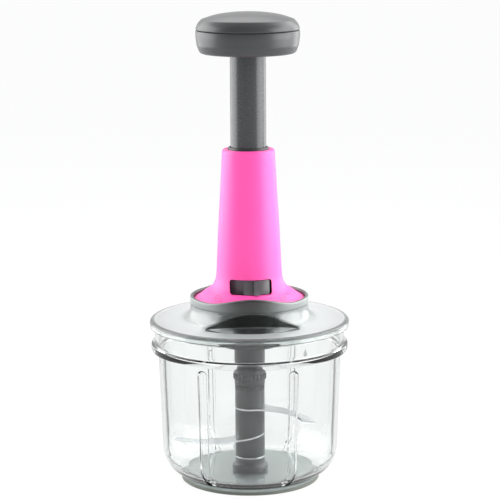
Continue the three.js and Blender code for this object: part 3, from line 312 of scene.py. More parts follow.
panel("panel_right", 84, width=0.9, watts=14, **UPRIGHT)
panel("panel_left", -98, width=0.7, watts=10, **UPRIGHT)
panel("panel_right_back", 132, width=0.4, watts=4.5, **UPRIGHT)
panel("panel_left_back", -132, width=0.4, watts=3.8, **UPRIGHT)
panel("panel_top", 160, distance=0.6, height=1.1, width=1.8, tall=0.6, watts=8)

# %% [markdown]
# ## Turned shapes
# Nearly every piece of this object was moulded round one axis, so its shape is one outline, spun.
# An outline is written as its corners and how much each is rounded. It starts and ends on the
# axis, or closes on itself for a ring. It goes up on the outside.

# %% An outline with rounded corners
ARC_SIDE = 0.4


def rounded(corners, steps):
    """Points of an outline with corners (radius, height, rounding) in millimetres."""
    points = []
    for i, (x, y, *rounding) in enumerate(corners):
        corner = Vector((x, y))
        if not rounding:
            points.append(corner)
            continue
        back = Vector(corners[i - 1][:2]) - corner
        ahead = Vector(corners[(i + 1) % len(corners)][:2]) - corner
        half = back.angle(ahead) / 2
        reach = min(rounding[0] / math.tan(half), back.length * 0.49, ahead.length * 0.49)
        back.normalize()
        ahead.normalize()
        centre = corner + (back + ahead).normalized() * (reach / math.cos(half))
        start = corner + back * reach - centre
        end = corner + ahead * reach - centre
        sweep = start.angle_signed(end)
        parts = max(3, min(steps, math.ceil(abs(sweep) * start.length / ARC_SIDE)))
        for k in range(parts + 1):
            turned = start.copy()
            turned.rotate(Matrix.Rotation(-sweep * k / parts, 2))
            points.append(centre + turned)
    return [(p.x, p.y) for p in points]


def offset(points, distance):
    """An outline moved to the left of its direction: inwards, when it goes up the outside."""
    moved = []
    for i, (r, z) in enumerate(points):
        before, after = points[max(i - 1, 0)], points[min(i + 1, len(points) - 1)]
        along = Vector((after[0] - before[0], after[1] - before[1])).normalized()
        moved.append((r - along.y * distance, z + along.x * distance))
    return moved


def eased(points, reach=60):
    """The same corners, all rounded as much as their sides allow."""
    return [(r, z, reach) for r, z in points]


def dense(points, step, fine=(0, 0), fine_step=0.35):
    """The same outline with no side longer than a step, or than a finer one between two heights."""
    result = [points[0]]
    for start, end in zip(points, points[1:]):
        steep = abs(end[1] - start[1]) > 0.5 * math.dist(start, end)
        crosses = steep and max(start[1], end[1]) > fine[0] and min(start[1], end[1]) < fine[1]
        parts = max(1, math.ceil(math.dist(start, end) / (fine_step if crosses else step)))
        for k in range(1, parts + 1):
            result.append(tuple(a + (b - a) * k / parts for a, b in zip(start, end)))
    return result


# %% Spin an outline, and carve one shape with another
def spun(points, steps=96):
    """A solid of revolution about the Z axis, from an outline in millimetres."""
    bm = bmesh.new()
    verts = [bm.verts.new((r * MM, 0, z * MM)) for r, z in points]
    edges = [bm.edges.new(pair) for pair in zip(verts, verts[1:])]
    if points[0][0] > 0:
        edges.append(bm.edges.new((verts[-1], verts[0])))
    around = {"cent": (0, 0, 0), "axis": (0, 0, 1), "angle": math.tau, "steps": steps, "use_merge": True}
    bmesh.ops.spin(bm, geom=verts + edges, **around)
    bmesh.ops.remove_doubles(bm, verts=bm.verts, dist=1e-7)
    bmesh.ops.recalc_face_normals(bm, faces=bm.faces)
    return bm


def carved(base, tool, operation="DIFFERENCE"):
    """The first shape joined with, cut by or kept inside the second."""
    base_object = as_object("base", base)
    tool_object = as_object("tool", tool)
    modifier = base_object.modifiers.new("carve", "BOOLEAN")
    modifier.operation = operation
    modifier.solver = "EXACT"
    modifier.object = tool_object
    bpy.context.view_layer.update()
    ready = base_object.evaluated_get(bpy.context.evaluated_depsgraph_get())
    result = bmesh.new()
    result.from_mesh(ready.to_mesh())
    for obj in (base_object, tool_object):
        bpy.data.meshes.remove(obj.data)
    bmesh.ops.remove_doubles(result, verts=result.verts, dist=2e-6)
    bmesh.ops.dissolve_degenerate(result, dist=1e-6, edges=result.edges)
    return result


def turn_all(bm, angle, axis="Z"):
    matrix = Matrix.Rotation(angle, 3, axis)
    bmesh.ops.rotate(bm, verts=bm.verts, cent=(0, 0, 0), matrix=matrix)


def raised(bm, height):
    """Makes a flat sheet solid: a copy of it is drawn up."""
    grown = bmesh.ops.extrude_face_region(bm, geom=bm.faces[:], use_keep_orig=True)
    upper = [v for v in grown["geom"] if isinstance(v, bmesh.types.BMVert)]
    bmesh.ops.translate(bm, verts=upper, vec=(0, 0, height))


def block(low, high, bevel=0.0, segments=4):
    """A box between two corners in millimetres, with all its edges rounded."""
    bm = bmesh.new()
    bmesh.ops.create_cube(bm, size=1)
    size = [(b - a) * MM for a, b in zip(low, high)]
    middle = [(a + b) / 2 * MM for a, b in zip(low, high)]
    bmesh.ops.scale(bm, verts=bm.verts, vec=size)
    bmesh.ops.translate(bm, verts=bm.verts, vec=middle)
    if bevel:
        sides = {"affect": "EDGES", "segments": segments, "profile": 0.5, "material": -1}
        bmesh.ops.bevel(bm, geom=bm.edges[:], offset=bevel * MM, **sides)
    return bm


def reshape(bm, rule):
    """Moves each vertex: the rule takes its place in millimetres and its normal, and gives a place."""
    bm.normal_update()
    moves = [(v, rule(v.co / MM, v.normal.copy())) for v in bm.verts]
    for v, place in moves:
        v.co = Vector(place) * MM
    bm.normal_update()
    return bm


def add_piece(name, bm, finish, body, node, sharp=35):
    """Makes a shape a named piece that rides on a body and stands for its CAD node."""
    obj = as_object(name, bm)
    obj.data.polygons.foreach_set("use_smooth", [True] * len(obj.data.polygons))
    obj.data.set_sharp_from_angle(angle=math.radians(sharp))
    obj.data.materials.append(finish.material)
    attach(obj, body)
    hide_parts(node)
    sides = [[v.co[i] / MM for v in obj.data.vertices] for i in range(3)]
    low, high = ([round(end(side), 1) for side in sides] for end in (min, max))
    print(f"{name}: {len(obj.data.polygons)} faces, from {low} to {high}")
    return obj


# %% [markdown]
# ## Finishes of moulded plastic
# Moulded plastic has one colour all through. What makes it look real is small: the fine grain that
# the mould leaves, patches that are a little more or less polished, and flow lines that hardly show.
# So each finish is a colour with a few percent of slow change, a changing roughness and a fine bump.

# %% Moulded plastic
def moulded(name, colour, roughness, grain=0.02, change=0.05, stretch=(1, 1, 0.35)):
    finish = Finish(name)
    patches = finish.noise(26, 3, stretch)
    specks = finish.noise(0.55, 2)
    darker, lighter = shaded(colour, 1 - change), shaded(colour, 1 + change)
    finish.set(base_color=finish.blend(patches.step(0.3, 0.7), darker, lighter))
    finish.set(roughness=roughness + (patches - 0.5) * 0.12 + (specks - 0.5) * 0.08)
    finish.set(specular_ior_level=0.5)
    return finish.bump(specks, grain, 0.35)


knob_grey = moulded("knob_grey", linear(60, 61, 62), 0.34)
tube_grey = moulded("tube_grey", linear(58, 60, 61), 0.28, stretch=(1, 1, 0.1))
column_grey = moulded("column_grey", linear(56, 58, 59), 0.34)
dark_plastic = moulded("dark_plastic", linear(48, 50, 52), 0.38)
lock_dark = moulded("lock_dark", linear(90, 87, 90), 0.33)
pale_acetal = moulded("pale_acetal", linear(226, 226, 220), 0.38, change=0.02)
tower_pink = moulded("tower_pink", linear(255, 80, 168), 0.42, grain=0.012, change=0.03)
print("moulded finishes are ready")

# %% [markdown]
# Beside the window, the real tower has two small raised icons, a shut padlock and an open one. A
# shader draws them, from distances to a few centres.

# %% Lock icons on the tower
SOFT_EDGE = 0.08
ICON_HEIGHT = 126.3
SHACKLE_FOOT = 127.2


def near(value, centre, half):
    """1 where a value is near a centre, and 0 elsewhere."""
    return 1 - (value - centre).size().step(half - SOFT_EDGE, half + SOFT_EDGE)


def padlock(x, z, middle, shackle):
    """A small padlock: a body, and a shackle that stands over the body's middle or beside it."""
    hole = near(x, middle, 1.5) * near(z, ICON_HEIGHT, 0.5)
    body = near(x, middle, 2.1) * near(z, ICON_HEIGHT, 0.95) * (1 - hole)
    from_shackle = ((x - shackle) ** 2 + ((z - SHACKLE_FOOT) * 1.3) ** 2) ** 0.5
    return body.larger(near(from_shackle, 1.5, 0.3) * z.step(SHACKLE_FOOT - 0.1, SHACKLE_FOOT + 0.1))


tower_x, tower_y, tower_z = tower_pink.axes()
shut, open_one = (padlock(tower_x, tower_z, *places) for places in ((-21.5, -21.5), (21, 23.4)))
icons = shut.larger(open_one) * (1 - tower_y.step(-2, -1))
tower_pink.set(base_color=tower_pink.blend(icons * 0.7, tower_pink.colour(), linear(190, 50, 120)))

# %% [markdown]
# ## Clear plastic
# The bowl and the lid are clear mouldings with a real wall, so they are closed shells with a transmitting
# shader: light bends at both faces, and edges and ribs draw themselves as darker lines, deepened by a
# painted edge shade where the surface turns away from the eye.
# Faint flow lines and fine scratches change the roughness, as on any plastic that has been handled.

# %% Clear and smoke-grey plastic
def clear_plastic(name, tint, edge, roughness, wear=0.03):
    """A clear finish. Where the surface turns away from the eye, its colour goes to the edge's tint: a
    painted edge shade.
    """
    finish = Finish(name)
    flow = finish.noise(18, 3, (1, 1, 0.25))
    scuffs = finish.noise(1.1, 4, (1, 1, 0.2), 0.6)
    body = finish.blend(flow.step(0.35, 0.65), shaded(tint, 0.97), tint)
    # Painted edge shade: the colour goes to the edge's tint where the surface turns away from the eye.
    finish.set(base_color=finish.blend(finish.facing() ** 4, body, edge))
    finish.set(roughness=roughness + scuffs.step(0.55, 0.75) * wear)
    finish.set(transmission_weight=1.0, ior=1.46)
    return finish.bump(flow, 0.02, 0.3)


def let_light_in(finish, surface, colour):
    """Lets lamps shine through onto what is inside: a shadow ray meets a plain tinted pane."""
    pane = finish.add("ShaderNodeBsdfTransparent", {"Color": colour})
    finish.show(finish.mix(finish.ray("Shadow"), surface, pane))


BOWL_TINT = (0.94, 0.96, 0.955, 1)
# The bowl's second colour is its painted edge shade.
bowl_clear = clear_plastic("bowl_clear", BOWL_TINT, (0.30, 0.33, 0.32, 1), 0.015)
let_light_in(bowl_clear, bowl_clear.surface(), (0.9, 0.92, 0.915, 1))

# %% [markdown]
# Two little marks are moulded into the bowl's collar. They show where the lid goes on and which way it
# turns: a drop, and an upright bar with a hook. A shader draws them, by angle and height. The ledge below
# the collar is thin, and it gets less of the painted edge shade than the long wall.

# %% Marks on the bowl
COLLAR_RADIUS = 63
LEDGE_MIDDLE = 91
MARK_AZIMUTHS = (-58.4, -117.3)
bowl_x, bowl_y, bowl_z = bowl_clear.axes()
bowl_around = bowl_x.maths("ARCTAN2", bowl_y, bowl_x)
from_drop, from_hook = ((bowl_around - math.radians(a)) * COLLAR_RADIUS for a in MARK_AZIMUTHS)
above_drop = bowl_z - 96.4
drop_width = 1.5 - above_drop.larger(0) * 0.38
drop = (drop_width - (from_drop**2 + above_drop.smaller(0) ** 2) ** 0.5).step(-0.1, 0.1)
bar = near(from_hook, 0, 0.35) * near(bowl_z, 98.5, 2.4)
hook = bar.larger(near(from_hook, 0.9, 1.1) * near(bowl_z, 100.6, 0.35))
marks = drop.larger(hook) * (bowl_x * bowl_x + bowl_y * bowl_y).step(61.8**2, 62.2**2)
# The painted edge shade is weaker on the ledge.
bowl_body = bowl_clear.blend(near(bowl_z, LEDGE_MIDDLE, 3) * 0.75, bowl_clear.colour(), BOWL_TINT)
bowl_clear.set(base_color=bowl_clear.blend(marks * 0.8, bowl_body, (0.12, 0.13, 0.13, 1)))

# %% [markdown]
# The lid is cloudier than the bowl. Its flange and bell are a little frosted, and the collar hides what is
# behind it. Its haze carries painted light: painted shade where the wall faces the eye and a painted sheen
# where it turns away, a pale painted highlight over the flange and on the sides of each scoop's floor, and
# painted shade on the rolled rim and on the collar's lip. Painted shade also darkens the rim's lowest edge,
# and between the roll and that edge the rim is clear. The wall of each finger scoop is polished and painted
# nearly black: painted shade. It leans, and its plan is half an ellipse: the shape and the finish of the
# lid both follow the same numbers.

# %% Smoke-grey lid
FLANGE_TOP = 109.3
SCOOP_DISTANCE = 28.6
SCOOP_CURVE = 6
SCOOP_LEAN = 1.03
SCOOP_FLOOR = 108.3
SCOOP_HALF = 30

lid_smoke = clear_plastic("lid_smoke", (0.88, 0.90, 0.895, 1), (0.32, 0.35, 0.34, 1), 0.05)
lid_x, lid_y, lid_z = lid_smoke.axes()
lid_radius = (lid_x * lid_x + lid_y * lid_y) ** 0.5
lid_forward = lid_y.size() - (lid_z - FLANGE_TOP) * SCOOP_LEAN
behind_ends = (SCOOP_DISTANCE + SCOOP_CURVE - lid_forward).larger(0)
scooped = (lid_x / (SCOOP_HALF * 1.01)) ** 2 + (behind_ends / (SCOOP_CURVE * 1.05)) ** 2
scooped = scooped.step(1.0, 1.04, 1, 0)
scooped = scooped * (1 - lid_radius.step(49.5, 50.5)) * (1 - lid_z.step(119.8, 120.6))
above_flange = lid_z.step(108.6, 109.2)
inside_rim = 1 - lid_radius.step(62.5, 64)
lid_smoke.set(roughness=0.05 + above_flange * inside_rim * (1 - scooped) * 0.17)
# Painted sheen and shade: the haze is dark where the wall faces the eye, and pale where it turns away.
painted_sheen_share = (lid_smoke.facing() ** 0.5).step(0.12, 0.6)
# Painted shade on the rolled rim and on the collar's lip.
rolled_rim_painted_shade = lid_radius.step(61.5, 64.6) * lid_z.step(106.4, 107.6)
lip_painted_shade = lid_z.step(121.5, 121.8) * (1 - lid_radius.step(38.8, 39.2))
haze_with_painted_light = lid_smoke.blend(painted_sheen_share, linear(40, 48, 44), linear(150, 156, 154))
# Painted highlight: the haze over the flange and below it is pale.
haze_with_painted_light = lid_smoke.blend(lid_z.step(109.4, 111.5), linear(222, 227, 225), haze_with_painted_light)
haze_with_painted_light = lid_smoke.blend(rolled_rim_painted_shade.larger(lip_painted_shade), haze_with_painted_light, linear(70, 76, 74))
haze = lid_smoke.add("ShaderNodeBsdfPrincipled", {"Base Color": haze_with_painted_light, "Roughness": 0.3})
haziness = above_flange * 0.37 + lid_z.step(119.5, 121.5, 0, 0.5)
haziness = haziness * inside_rim + rolled_rim_painted_shade * 0.55
# Painted highlight at the sides of each scoop's floor: haze in the pale flange colour.
above_floor = lid_z.step(SCOOP_FLOOR + 0.1, SCOOP_FLOOR + 0.6)
scoop_floor_painted_highlight = scooped * (1 - above_floor) * lid_x.size().step(9, 17)
haziness = haziness * (1 - scooped) + scoop_floor_painted_highlight * 0.4
# Painted shade: the scoop's wall is painted nearly black.
painted_shade_look = {"Base Color": linear(40, 44, 42), "Roughness": 0.1, "Transmission Weight": 0.3}
painted_black_shade = lid_smoke.add("ShaderNodeBsdfPrincipled", painted_shade_look)
# Painted shade along the rim's lowest edge.
lower_edge_painted_shade = (1 - lid_z.step(104.8, 105.1)) * lid_radius.step(63.5, 64) * 0.7
painted_shade_share = (scooped * above_floor).larger(lower_edge_painted_shade)
lid_whole = lid_smoke.mix(painted_shade_share, lid_smoke.mix(haziness, lid_smoke.surface(), haze), painted_black_shade)
let_light_in(lid_smoke, lid_whole, (0.7, 0.72, 0.71, 1))
print("clear finishes are ready")

# %% [markdown]
# ## Bowl
# The bowl is one clear moulding: a wide mouth collar, a ledge below it, a slightly tapered wall and a
# big rounded lower corner. Six grooves run down the outside and stand as ribs inside, where they turn
# the food back into the blades. The wall is spun first. Then the vertices near each rib are moved
# along their normals, so that groove and rib are one soft pressed form.

# %% Bowl wall
BOWL_TURN = math.radians(-94.4)
RIB_COUNT = 6
RIB_TOP = 84
GROOVE_HALF = 2.0
GROOVE_DEPTH = 1.7
RIB_HEIGHT = 1.8
RIB_END = 46.8
RIB_REACH = 180 / RIB_COUNT
CROWD_SHARE, CROWD_ANGLE = 0.64, 5.8

bowl_outline = rounded([
    (0, 2.5), (57.9, 2.5, 20.5), (60.634, 79), (60.83, 86), (60.9, 88.5, 0.4), (65.4, 88.9, 0.6),
    (65.4, 93.1, 0.6), (63, 93.2, 0.4), (63, 106.9, 0.8), (60.7, 106.9, 0.8), (60.7, 92.8, 0.8),
    (58.6, 88.5, 1.5), (58.52, 86), (58.265, 79), (55.7, 6.4, 14), (5, 6.4, 0.6), (5, 9.8, 0.8),
    (2.4, 9.8, 0.3), (2.4, 3.5), (0, 3.5),
], 26)
rib_azimuths = [BOWL_TURN + math.tau * (k + 0.5) / RIB_COUNT for k in range(RIB_COUNT)]


def smooth_step(value, low, high):
    share = min(1.0, max(0.0, (value - low) / (high - low)))
    return share * share * (3 - 2 * share)


def from_rib(place):
    """The angle to a place from the nearest rib."""
    azimuth = math.atan2(place.y, place.x)
    return min(((azimuth - a + math.pi) % math.tau - math.pi for a in rib_azimuths), key=abs)


def press_ribs(place, normal):
    """Pushes the wall in at each groove, and lets the rib stand a little prouder inside."""
    radius = math.hypot(place.x, place.y)
    if radius < 30 or place.z > RIB_TOP + 3:
        return place
    aside = radius * math.sin(min(abs(from_rib(place)), math.pi / 2))
    outward = (normal.x * place.x + normal.y * place.y) / radius
    outside = outward > 0 if abs(outward) > 0.35 else normal.z < 0
    half = GROOVE_HALF if outside else GROOVE_HALF + 1.2
    above = max(0.0, place.z - (RIB_TOP - GROOVE_HALF))
    distance = math.hypot(aside, above)
    share = 1 - smooth_step(distance, half - 0.7, half + 0.15)
    share *= smooth_step(radius, RIB_END - 1, RIB_END + 1)
    return place + normal * (share * (-GROOVE_DEPTH if outside else RIB_HEIGHT))


def crowd(place, _normal):
    """Turns the vertices towards the nearest rib, so that they lie close where the wall bends."""
    aside = from_rib(place)
    share = min(1.0, abs(math.degrees(aside)) / RIB_REACH)
    if share < CROWD_SHARE:
        angle = share / CROWD_SHARE * CROWD_ANGLE
    else:
        angle = CROWD_ANGLE + (share - CROWD_SHARE) / (1 - CROWD_SHARE) * (RIB_REACH - CROWD_ANGLE)
    turned = place.copy()
    turned.rotate(Matrix.Rotation(math.copysign(math.radians(angle), aside) - aside, 3, "Z"))
    return turned


bowl_round = spun(dense(bowl_outline, 2.6, fine=(79, 86.5)), steps=360)
turn_all(bowl_round, rib_azimuths[0])
bowl_mesh = reshape(reshape(bowl_round, crowd), press_ribs)
add_piece("clear_bowl", bowl_mesh, bowl_clear, "bowl", "bowl")

# %% [markdown]
# ## Pad under the bowl
# A flat grey disc keeps the bowl from sliding. It is seen through the floor, so its face gets the fine
# rings that a turned mould leaves. Its side is painted darker: painted shade.

# %% Pad
pad_grey = Finish("pad_grey")
pad_x, pad_y = pad_grey.axes()[:2]
pad_radius = (pad_x * pad_x + pad_y * pad_y) ** 0.5
pad_rings = pad_radius.maths("SINE", pad_radius * 4.2)
pad_patch = pad_grey.noise(14, 3)
pad_top = pad_grey.blend(pad_patch.step(0.3, 0.7), linear(140, 145, 144), linear(150, 154, 153))
# Painted shade: past a radius of about 45 mm, the pad's side is darker.
pad_grey.set(base_color=pad_grey.blend(pad_radius.step(44.8, 46), pad_top, linear(102, 105, 97)))
pad_grey.set(roughness=0.62 + (pad_patch - 0.5) * 0.15)
pad_grey.bump(pad_rings * 0.5 + pad_grey.noise(0.5) * 0.6, 0.05, 0.4)
pad_outline = rounded([(0, 0), (46.3, 0, 0.8), (46.3, 2.2, 0.8), (0, 2.2)], 4)
add_piece("soft_pad", spun(dense(pad_outline, 8), 128), pad_grey, "bowl", "base_pad")

# %% [markdown]
# ## Lid
# The lid is smoke-grey and clear. Its flange has a rolled rim, and a bell rises from it to a neck and
# a collar that the tower stands in. The collar rises to a low crest at the front and at the back.
# Below the crest the bell is cut away by a leaning, curved wall: that is the finger scoop. So the
# shell is spun, its crest is lifted, a thin wall is put in, and what lies in front of it is cut away.

# %% Lid outline and crest
CEILING_TOP = 121.4
CREST_HEIGHT = 4.5
CREST_ANGLE = math.radians(50)
LID_UNDER = 107.2
LID_WALL = 2.1
bell = [(50.5, FLANGE_TOP), (45.5, 109.95), (42.9, 110.9), (41.1, 112.2)]
bell += [(39.9, 114.0), (39.3, 116.5), (39.1, 119)]
bell_inside = [point for point in offset(bell, LID_WALL)[1:] if point[1] < 119][::-1]
lid_outline = rounded([
    (8.2, 119.3), (37, 119.3), *eased(bell_inside), (50.2, LID_UNDER), (58.5, LID_UNDER),
    (58.5, 102.6, 0.4), (60.4, 102.6, 0.4), (60.4, LID_UNDER), (64.6, LID_UNDER), (64.6, 104.5, 0.3),
    (66.4, 104.5, 0.5), (66.4, FLANGE_TOP, 2.6), *eased(bell), (39.2, CEILING_TOP, 2), (39.5, 125, 1.1),
    (36.9, 125, 1.1), (36.9, CEILING_TOP), (8.2, CEILING_TOP),
], 4)


def raise_crest(place, _normal):
    radius = math.hypot(place.x, place.y)
    if radius < 36.5 or place.z <= CEILING_TOP:
        return place
    aside = min(1.0, abs(math.atan2(place.x, abs(place.y))) / CREST_ANGLE)
    share = math.cos(aside * math.pi / 2) ** 2 * smooth_step(place.z, CEILING_TOP, CEILING_TOP + 3.1)
    return place + Vector((0, 0, CREST_HEIGHT * share))


lid_shell = reshape(spun(dense(lid_outline, 3), steps=240), raise_crest)


# %% Scoops
FRONT_RADIUS, FRONT_CENTRE = 37.06, 13.44
OUTSIDE = 60


def wedge(side, distance, floor, half_length):
    """All that is above a floor and outside a wall. The wall leans out, and its ends curve forwards."""
    bm = bmesh.new()
    bmesh.ops.create_circle(bm, cap_ends=True, segments=128, radius=1)
    for v in bm.verts:
        forward = OUTSIDE if v.co.y > 0.01 else distance + SCOOP_CURVE * (1 + v.co.y)
        v.co = Vector((v.co.x * half_length, forward, floor)) * MM
    raised(bm, (CEILING_TOP - floor) * MM)
    for v in bm.verts:
        if v.co.y < (OUTSIDE - 5) * MM:
            v.co.y += SCOOP_LEAN * (v.co.z - FLANGE_TOP * MM)
    bmesh.ops.recalc_face_normals(bm, faces=bm.faces)
    if side < 0:
        turn_all(bm, math.pi)
    return bm


def scoop_room(side):
    """What the scoop takes away: a wedge with a round front edge, sunk a little into the flange."""
    front = spun([(0, 100), (FRONT_RADIUS, 100), (FRONT_RADIUS, 130), (0, 130)], 240)
    bmesh.ops.translate(front, verts=front.verts, vec=(0, side * FRONT_CENTRE * MM, 0))
    return carved(wedge(side, SCOOP_DISTANCE, SCOOP_FLOOR, SCOOP_HALF), front, "INTERSECT")


bell_solid = rounded([(0, LID_UNDER), (50.5, LID_UNDER), *eased(bell), (39.2, 120.8), (0, 120.8)], 7)
behind = SCOOP_DISTANCE - LID_WALL * math.hypot(1, SCOOP_LEAN)
lid_mesh = lid_shell
for side in (-1, 1):
    backing = wedge(side, behind, LID_UNDER, SCOOP_HALF + LID_WALL)
    wall = carved(spun(dense(bell_solid, 3), 240), backing, "INTERSECT")
    lid_mesh = carved(carved(lid_mesh, wall, "UNION"), scoop_room(side))
add_piece("smoke_lid", lid_mesh, lid_smoke, "lid", "lid", sharp=28)

# %% [markdown]
# ## Tower
# The tower is a trumpet-shaped shell. Its outline goes from the foot in the collar, in over the flare
# to the hips and the waist, and up to a plate round the plunger. The inner side follows the outer one
# at the wall's thickness. Screw bosses and guide ribs stand inside, trimmed to the wall, and the
# window for the lock is cut through the front of the flare. Each set of screws is written as the
# radius of the circle that they stand on, and their azimuths.

# %% Tower's outline
TOWER_FOOT = 121.7
TOWER_TOP = 222.6
TOWER_WALL = 2.2
tower_curve = [
    (36.4, 122.9), (33.9, 124.25), (29.75, 127.45), (26.45, 129.4), (24.15, 131.7), (22.5, 135.0),
    (21.8, 138.8), (21.0, 155.6), (20.3, 170.3), (18.8, 194.5), (17.3, TOWER_TOP),
]
inside = offset(tower_curve, TOWER_WALL)[1:-1]
tower_outline = rounded([
    (inside[0][0] + 0.1, TOWER_FOOT), (36.4, TOWER_FOOT, 0.4), (36.4, 122.9, 0.6),
    *eased(tower_curve[1:-1]), (17.3, TOWER_TOP, 1.8), (13.7, TOWER_TOP, 0.2), (13.7, 220), (15.1, 220),
    *eased(inside[::-1]),
], 6)
print("tower outline:", len(tower_outline), "points")


# %% Drilled holes and joined rods
def rods(radius, low, high, circle, azimuths, steps=32):
    """Upright rods of one radius on a circle, in millimetres and degrees."""
    bm = bmesh.new()
    for azimuth in map(math.radians, azimuths):
        spot = Vector((circle * math.cos(azimuth), circle * math.sin(azimuth), (low + high) / 2)) * MM
        round_ends = {"cap_ends": True, "segments": steps, "radius1": radius * MM, "radius2": radius * MM}
        bmesh.ops.create_cone(bm, depth=(high - low) * MM, matrix=Matrix.Translation(spot), **round_ends)
    return bm


def together(*shapes):
    """Separate shapes that don't touch, as one mesh."""
    whole = bmesh.new()
    for bm in shapes:
        mesh = bpy.data.meshes.new("part")
        bm.to_mesh(mesh)
        bm.free()
        whole.from_mesh(mesh)
        bpy.data.meshes.remove(mesh)
    return whole


# %% Tower with its bosses, ribs and window
TOWER_SCREWS = (25.2, (40, 140, 220, 320))
RIB_LOW, RIB_HIGH, RIB_THICK = 140.3, 201.7, 1.8
halfway = eased(offset(tower_curve, TOWER_WALL / 2)[1:-1])
core = rounded([(0, TOWER_FOOT), (34, TOWER_FOOT), *halfway, (15.5, 220.9), (0, 220.9)], 6)
ribs = [
    block((low, y, RIB_LOW), (high, y + RIB_THICK, RIB_HIGH))
    for low, high in ((13.7, 22), (-22, -13.7))
    for y in (-4.65, 2.85)
]
inner_parts = together(rods(3.4, TOWER_FOOT, 129.7, *TOWER_SCREWS), *ribs)
tower_mesh = spun(dense(tower_outline, 4), 240)
tower_mesh = carved(tower_mesh, carved(inner_parts, spun(core, 96), "INTERSECT"), "UNION")
window = block((-13.8, -40, 129.2), (13.8, -12, 138.8), 1.8, 5)
tower_mesh = carved(tower_mesh, together(window, rods(1.65, 118, 128.1, *TOWER_SCREWS, 24)))
add_piece("pink_tower", tower_mesh, tower_pink, "lid", "tower", sharp=40)

# %% [markdown]
# ## Lock slider
# The grip in the window is a slice of the same flare, set back a little, with an upright ridge for
# the thumb. It moves with the lock's ring behind it.

# %% Lock slider
def flare_slice(left, right, low, high, proud, edge):
    """The part of the flare's band in front of the lock ring that an upright rounded block keeps."""
    surface = offset(tower_curve, -proud)[1:-3]
    band = rounded([(19.25, surface[0][1]), *eased(surface), (19.25, surface[-1][1])], 6)
    kept = block((left, -40, low), (right, -10, high), edge)
    return carved(spun(dense(band, 1.2), 160), kept, "INTERSECT")


grip = flare_slice(-4.9, 12.3, 129.7, 138.3, -0.9, 1.2)
ridge = flare_slice(1.9, 5.5, 129.75, 138.25, 1.0, 0.5)
add_piece("slider", carved(grip, ridge, "UNION"), lock_dark, "lock", "lock_slider")

# %% [markdown]
# ## Plunger and knob
# The palm knob is a cup and a domed cap that meet in a fine seam at the widest line. The cap has a
# soft crease where its side turns into the dome. The tube hangs from the knob's hub; its lower end has
# a flange and two ears that run between the tower's ribs, with notches for the lock's lugs.

# %% Knob
KNOB_SCREWS = (14.4, (-90, 30, 150))
knob_outline = rounded([
    (11.9, 285.2, 0.5), (31.2, 285.2, 2.8), (33.3, 290.6, 6), (34, 296.2, 12), (34, 300.3, 0.9),
    (31.8, 300.3), (29.5, 287.8), (20.5, 287.8), (20.5, 290.8), (11.9, 290.8),
], 8)
knob_mesh = carved(spun(dense(knob_outline, 5), 192), rods(1.45, 286.7, 292, *KNOB_SCREWS, 24))
add_piece("palm_knob", knob_mesh, knob_grey, "plunger", "knob_body")

dome = [(33.4, 302.1), (32.2, 304.1), (30.2, 307.15), (21.5, 310.2), (10, 311.7)]
dome_inside = offset([(34, 300.45), *dome], 2.2)[3:][::-1]
cap_outline = rounded([
    (0, 309.8), *eased(dome_inside), (27.3, 302.4), (27.3, 296.3, 0.2), (28.9, 296.3, 0.2),
    (28.9, 300.45), (34, 300.45, 0.9), (33.7, 302.3, 20), (32.6, 304.6, 12), (30.3, 307.25, 2.6),
    (21.5, 310.2, 60), (10, 311.75, 90), (0, 312),
], 8)
stub = spun([(10.15, 293.5), (11.75, 293.5), (11.75, 310.5), (10.15, 310.5)])
cap_mesh = carved(spun(dense(cap_outline, 4), 192), stub, "UNION")
add_piece("knob_dome", cap_mesh, knob_grey, "plunger", "knob_cap")

# %% Plunger tube
tube_outline = rounded([
    (9.75, 190), (13.35, 190, 0.4), (13.35, 192.4, 0.4), (11.75, 192.4), (11.75, 291.1), (17, 291.1),
    (17, 293.3), (9.75, 293.3), (9.75, 232.3), (8.15, 232.3), (8.15, 230.3), (9.75, 230.3),
], 3)


def both_sides(low, high):
    """A block, and the same block half a turn round the axis."""
    return [block(low, high), block((-high[0], -high[1], low[2]), (-low[0], -low[1], high[2]))]


ears = together(*both_sides((10.75, -2.5, 190), (15.15, 2.5, 202)))
notches = both_sides((13.35, -5, 192.6), (18.2, 5, 195.7))
key_slots = both_sides((-1.35, 8.1, 187), (1.35, 10.9, 230))
tube_mesh = carved(spun(tube_outline, 128), ears, "UNION")
cuts = together(*notches, *key_slots, rods(1.65, 288, 297, *KNOB_SCREWS, 24))
add_piece("tube", carved(tube_mesh, cuts), tube_grey, "plunger", "plunger_tube")

# %% Bush round the plunger
bush_outline = rounded([
    (12.1, 202.3), (13.7, 202.3), (13.7, 217.7), (14.5, 217.7), (14.5, 219.7), (13.4, 219.7),
    (13.4, 223.9, 0.65), (12.1, 223.9, 0.3),
], 5)
add_piece("bush", spun(bush_outline, 160), dark_plastic, "lid", "guide_bush")

# %% [markdown]
# ## Hub under the lid
# A dark cup hangs below the lid's ceiling and holds the bearing and the ratchet. A disc closes it
# from below and carries the drive sleeve. Its screws stand in little bosses of their own.

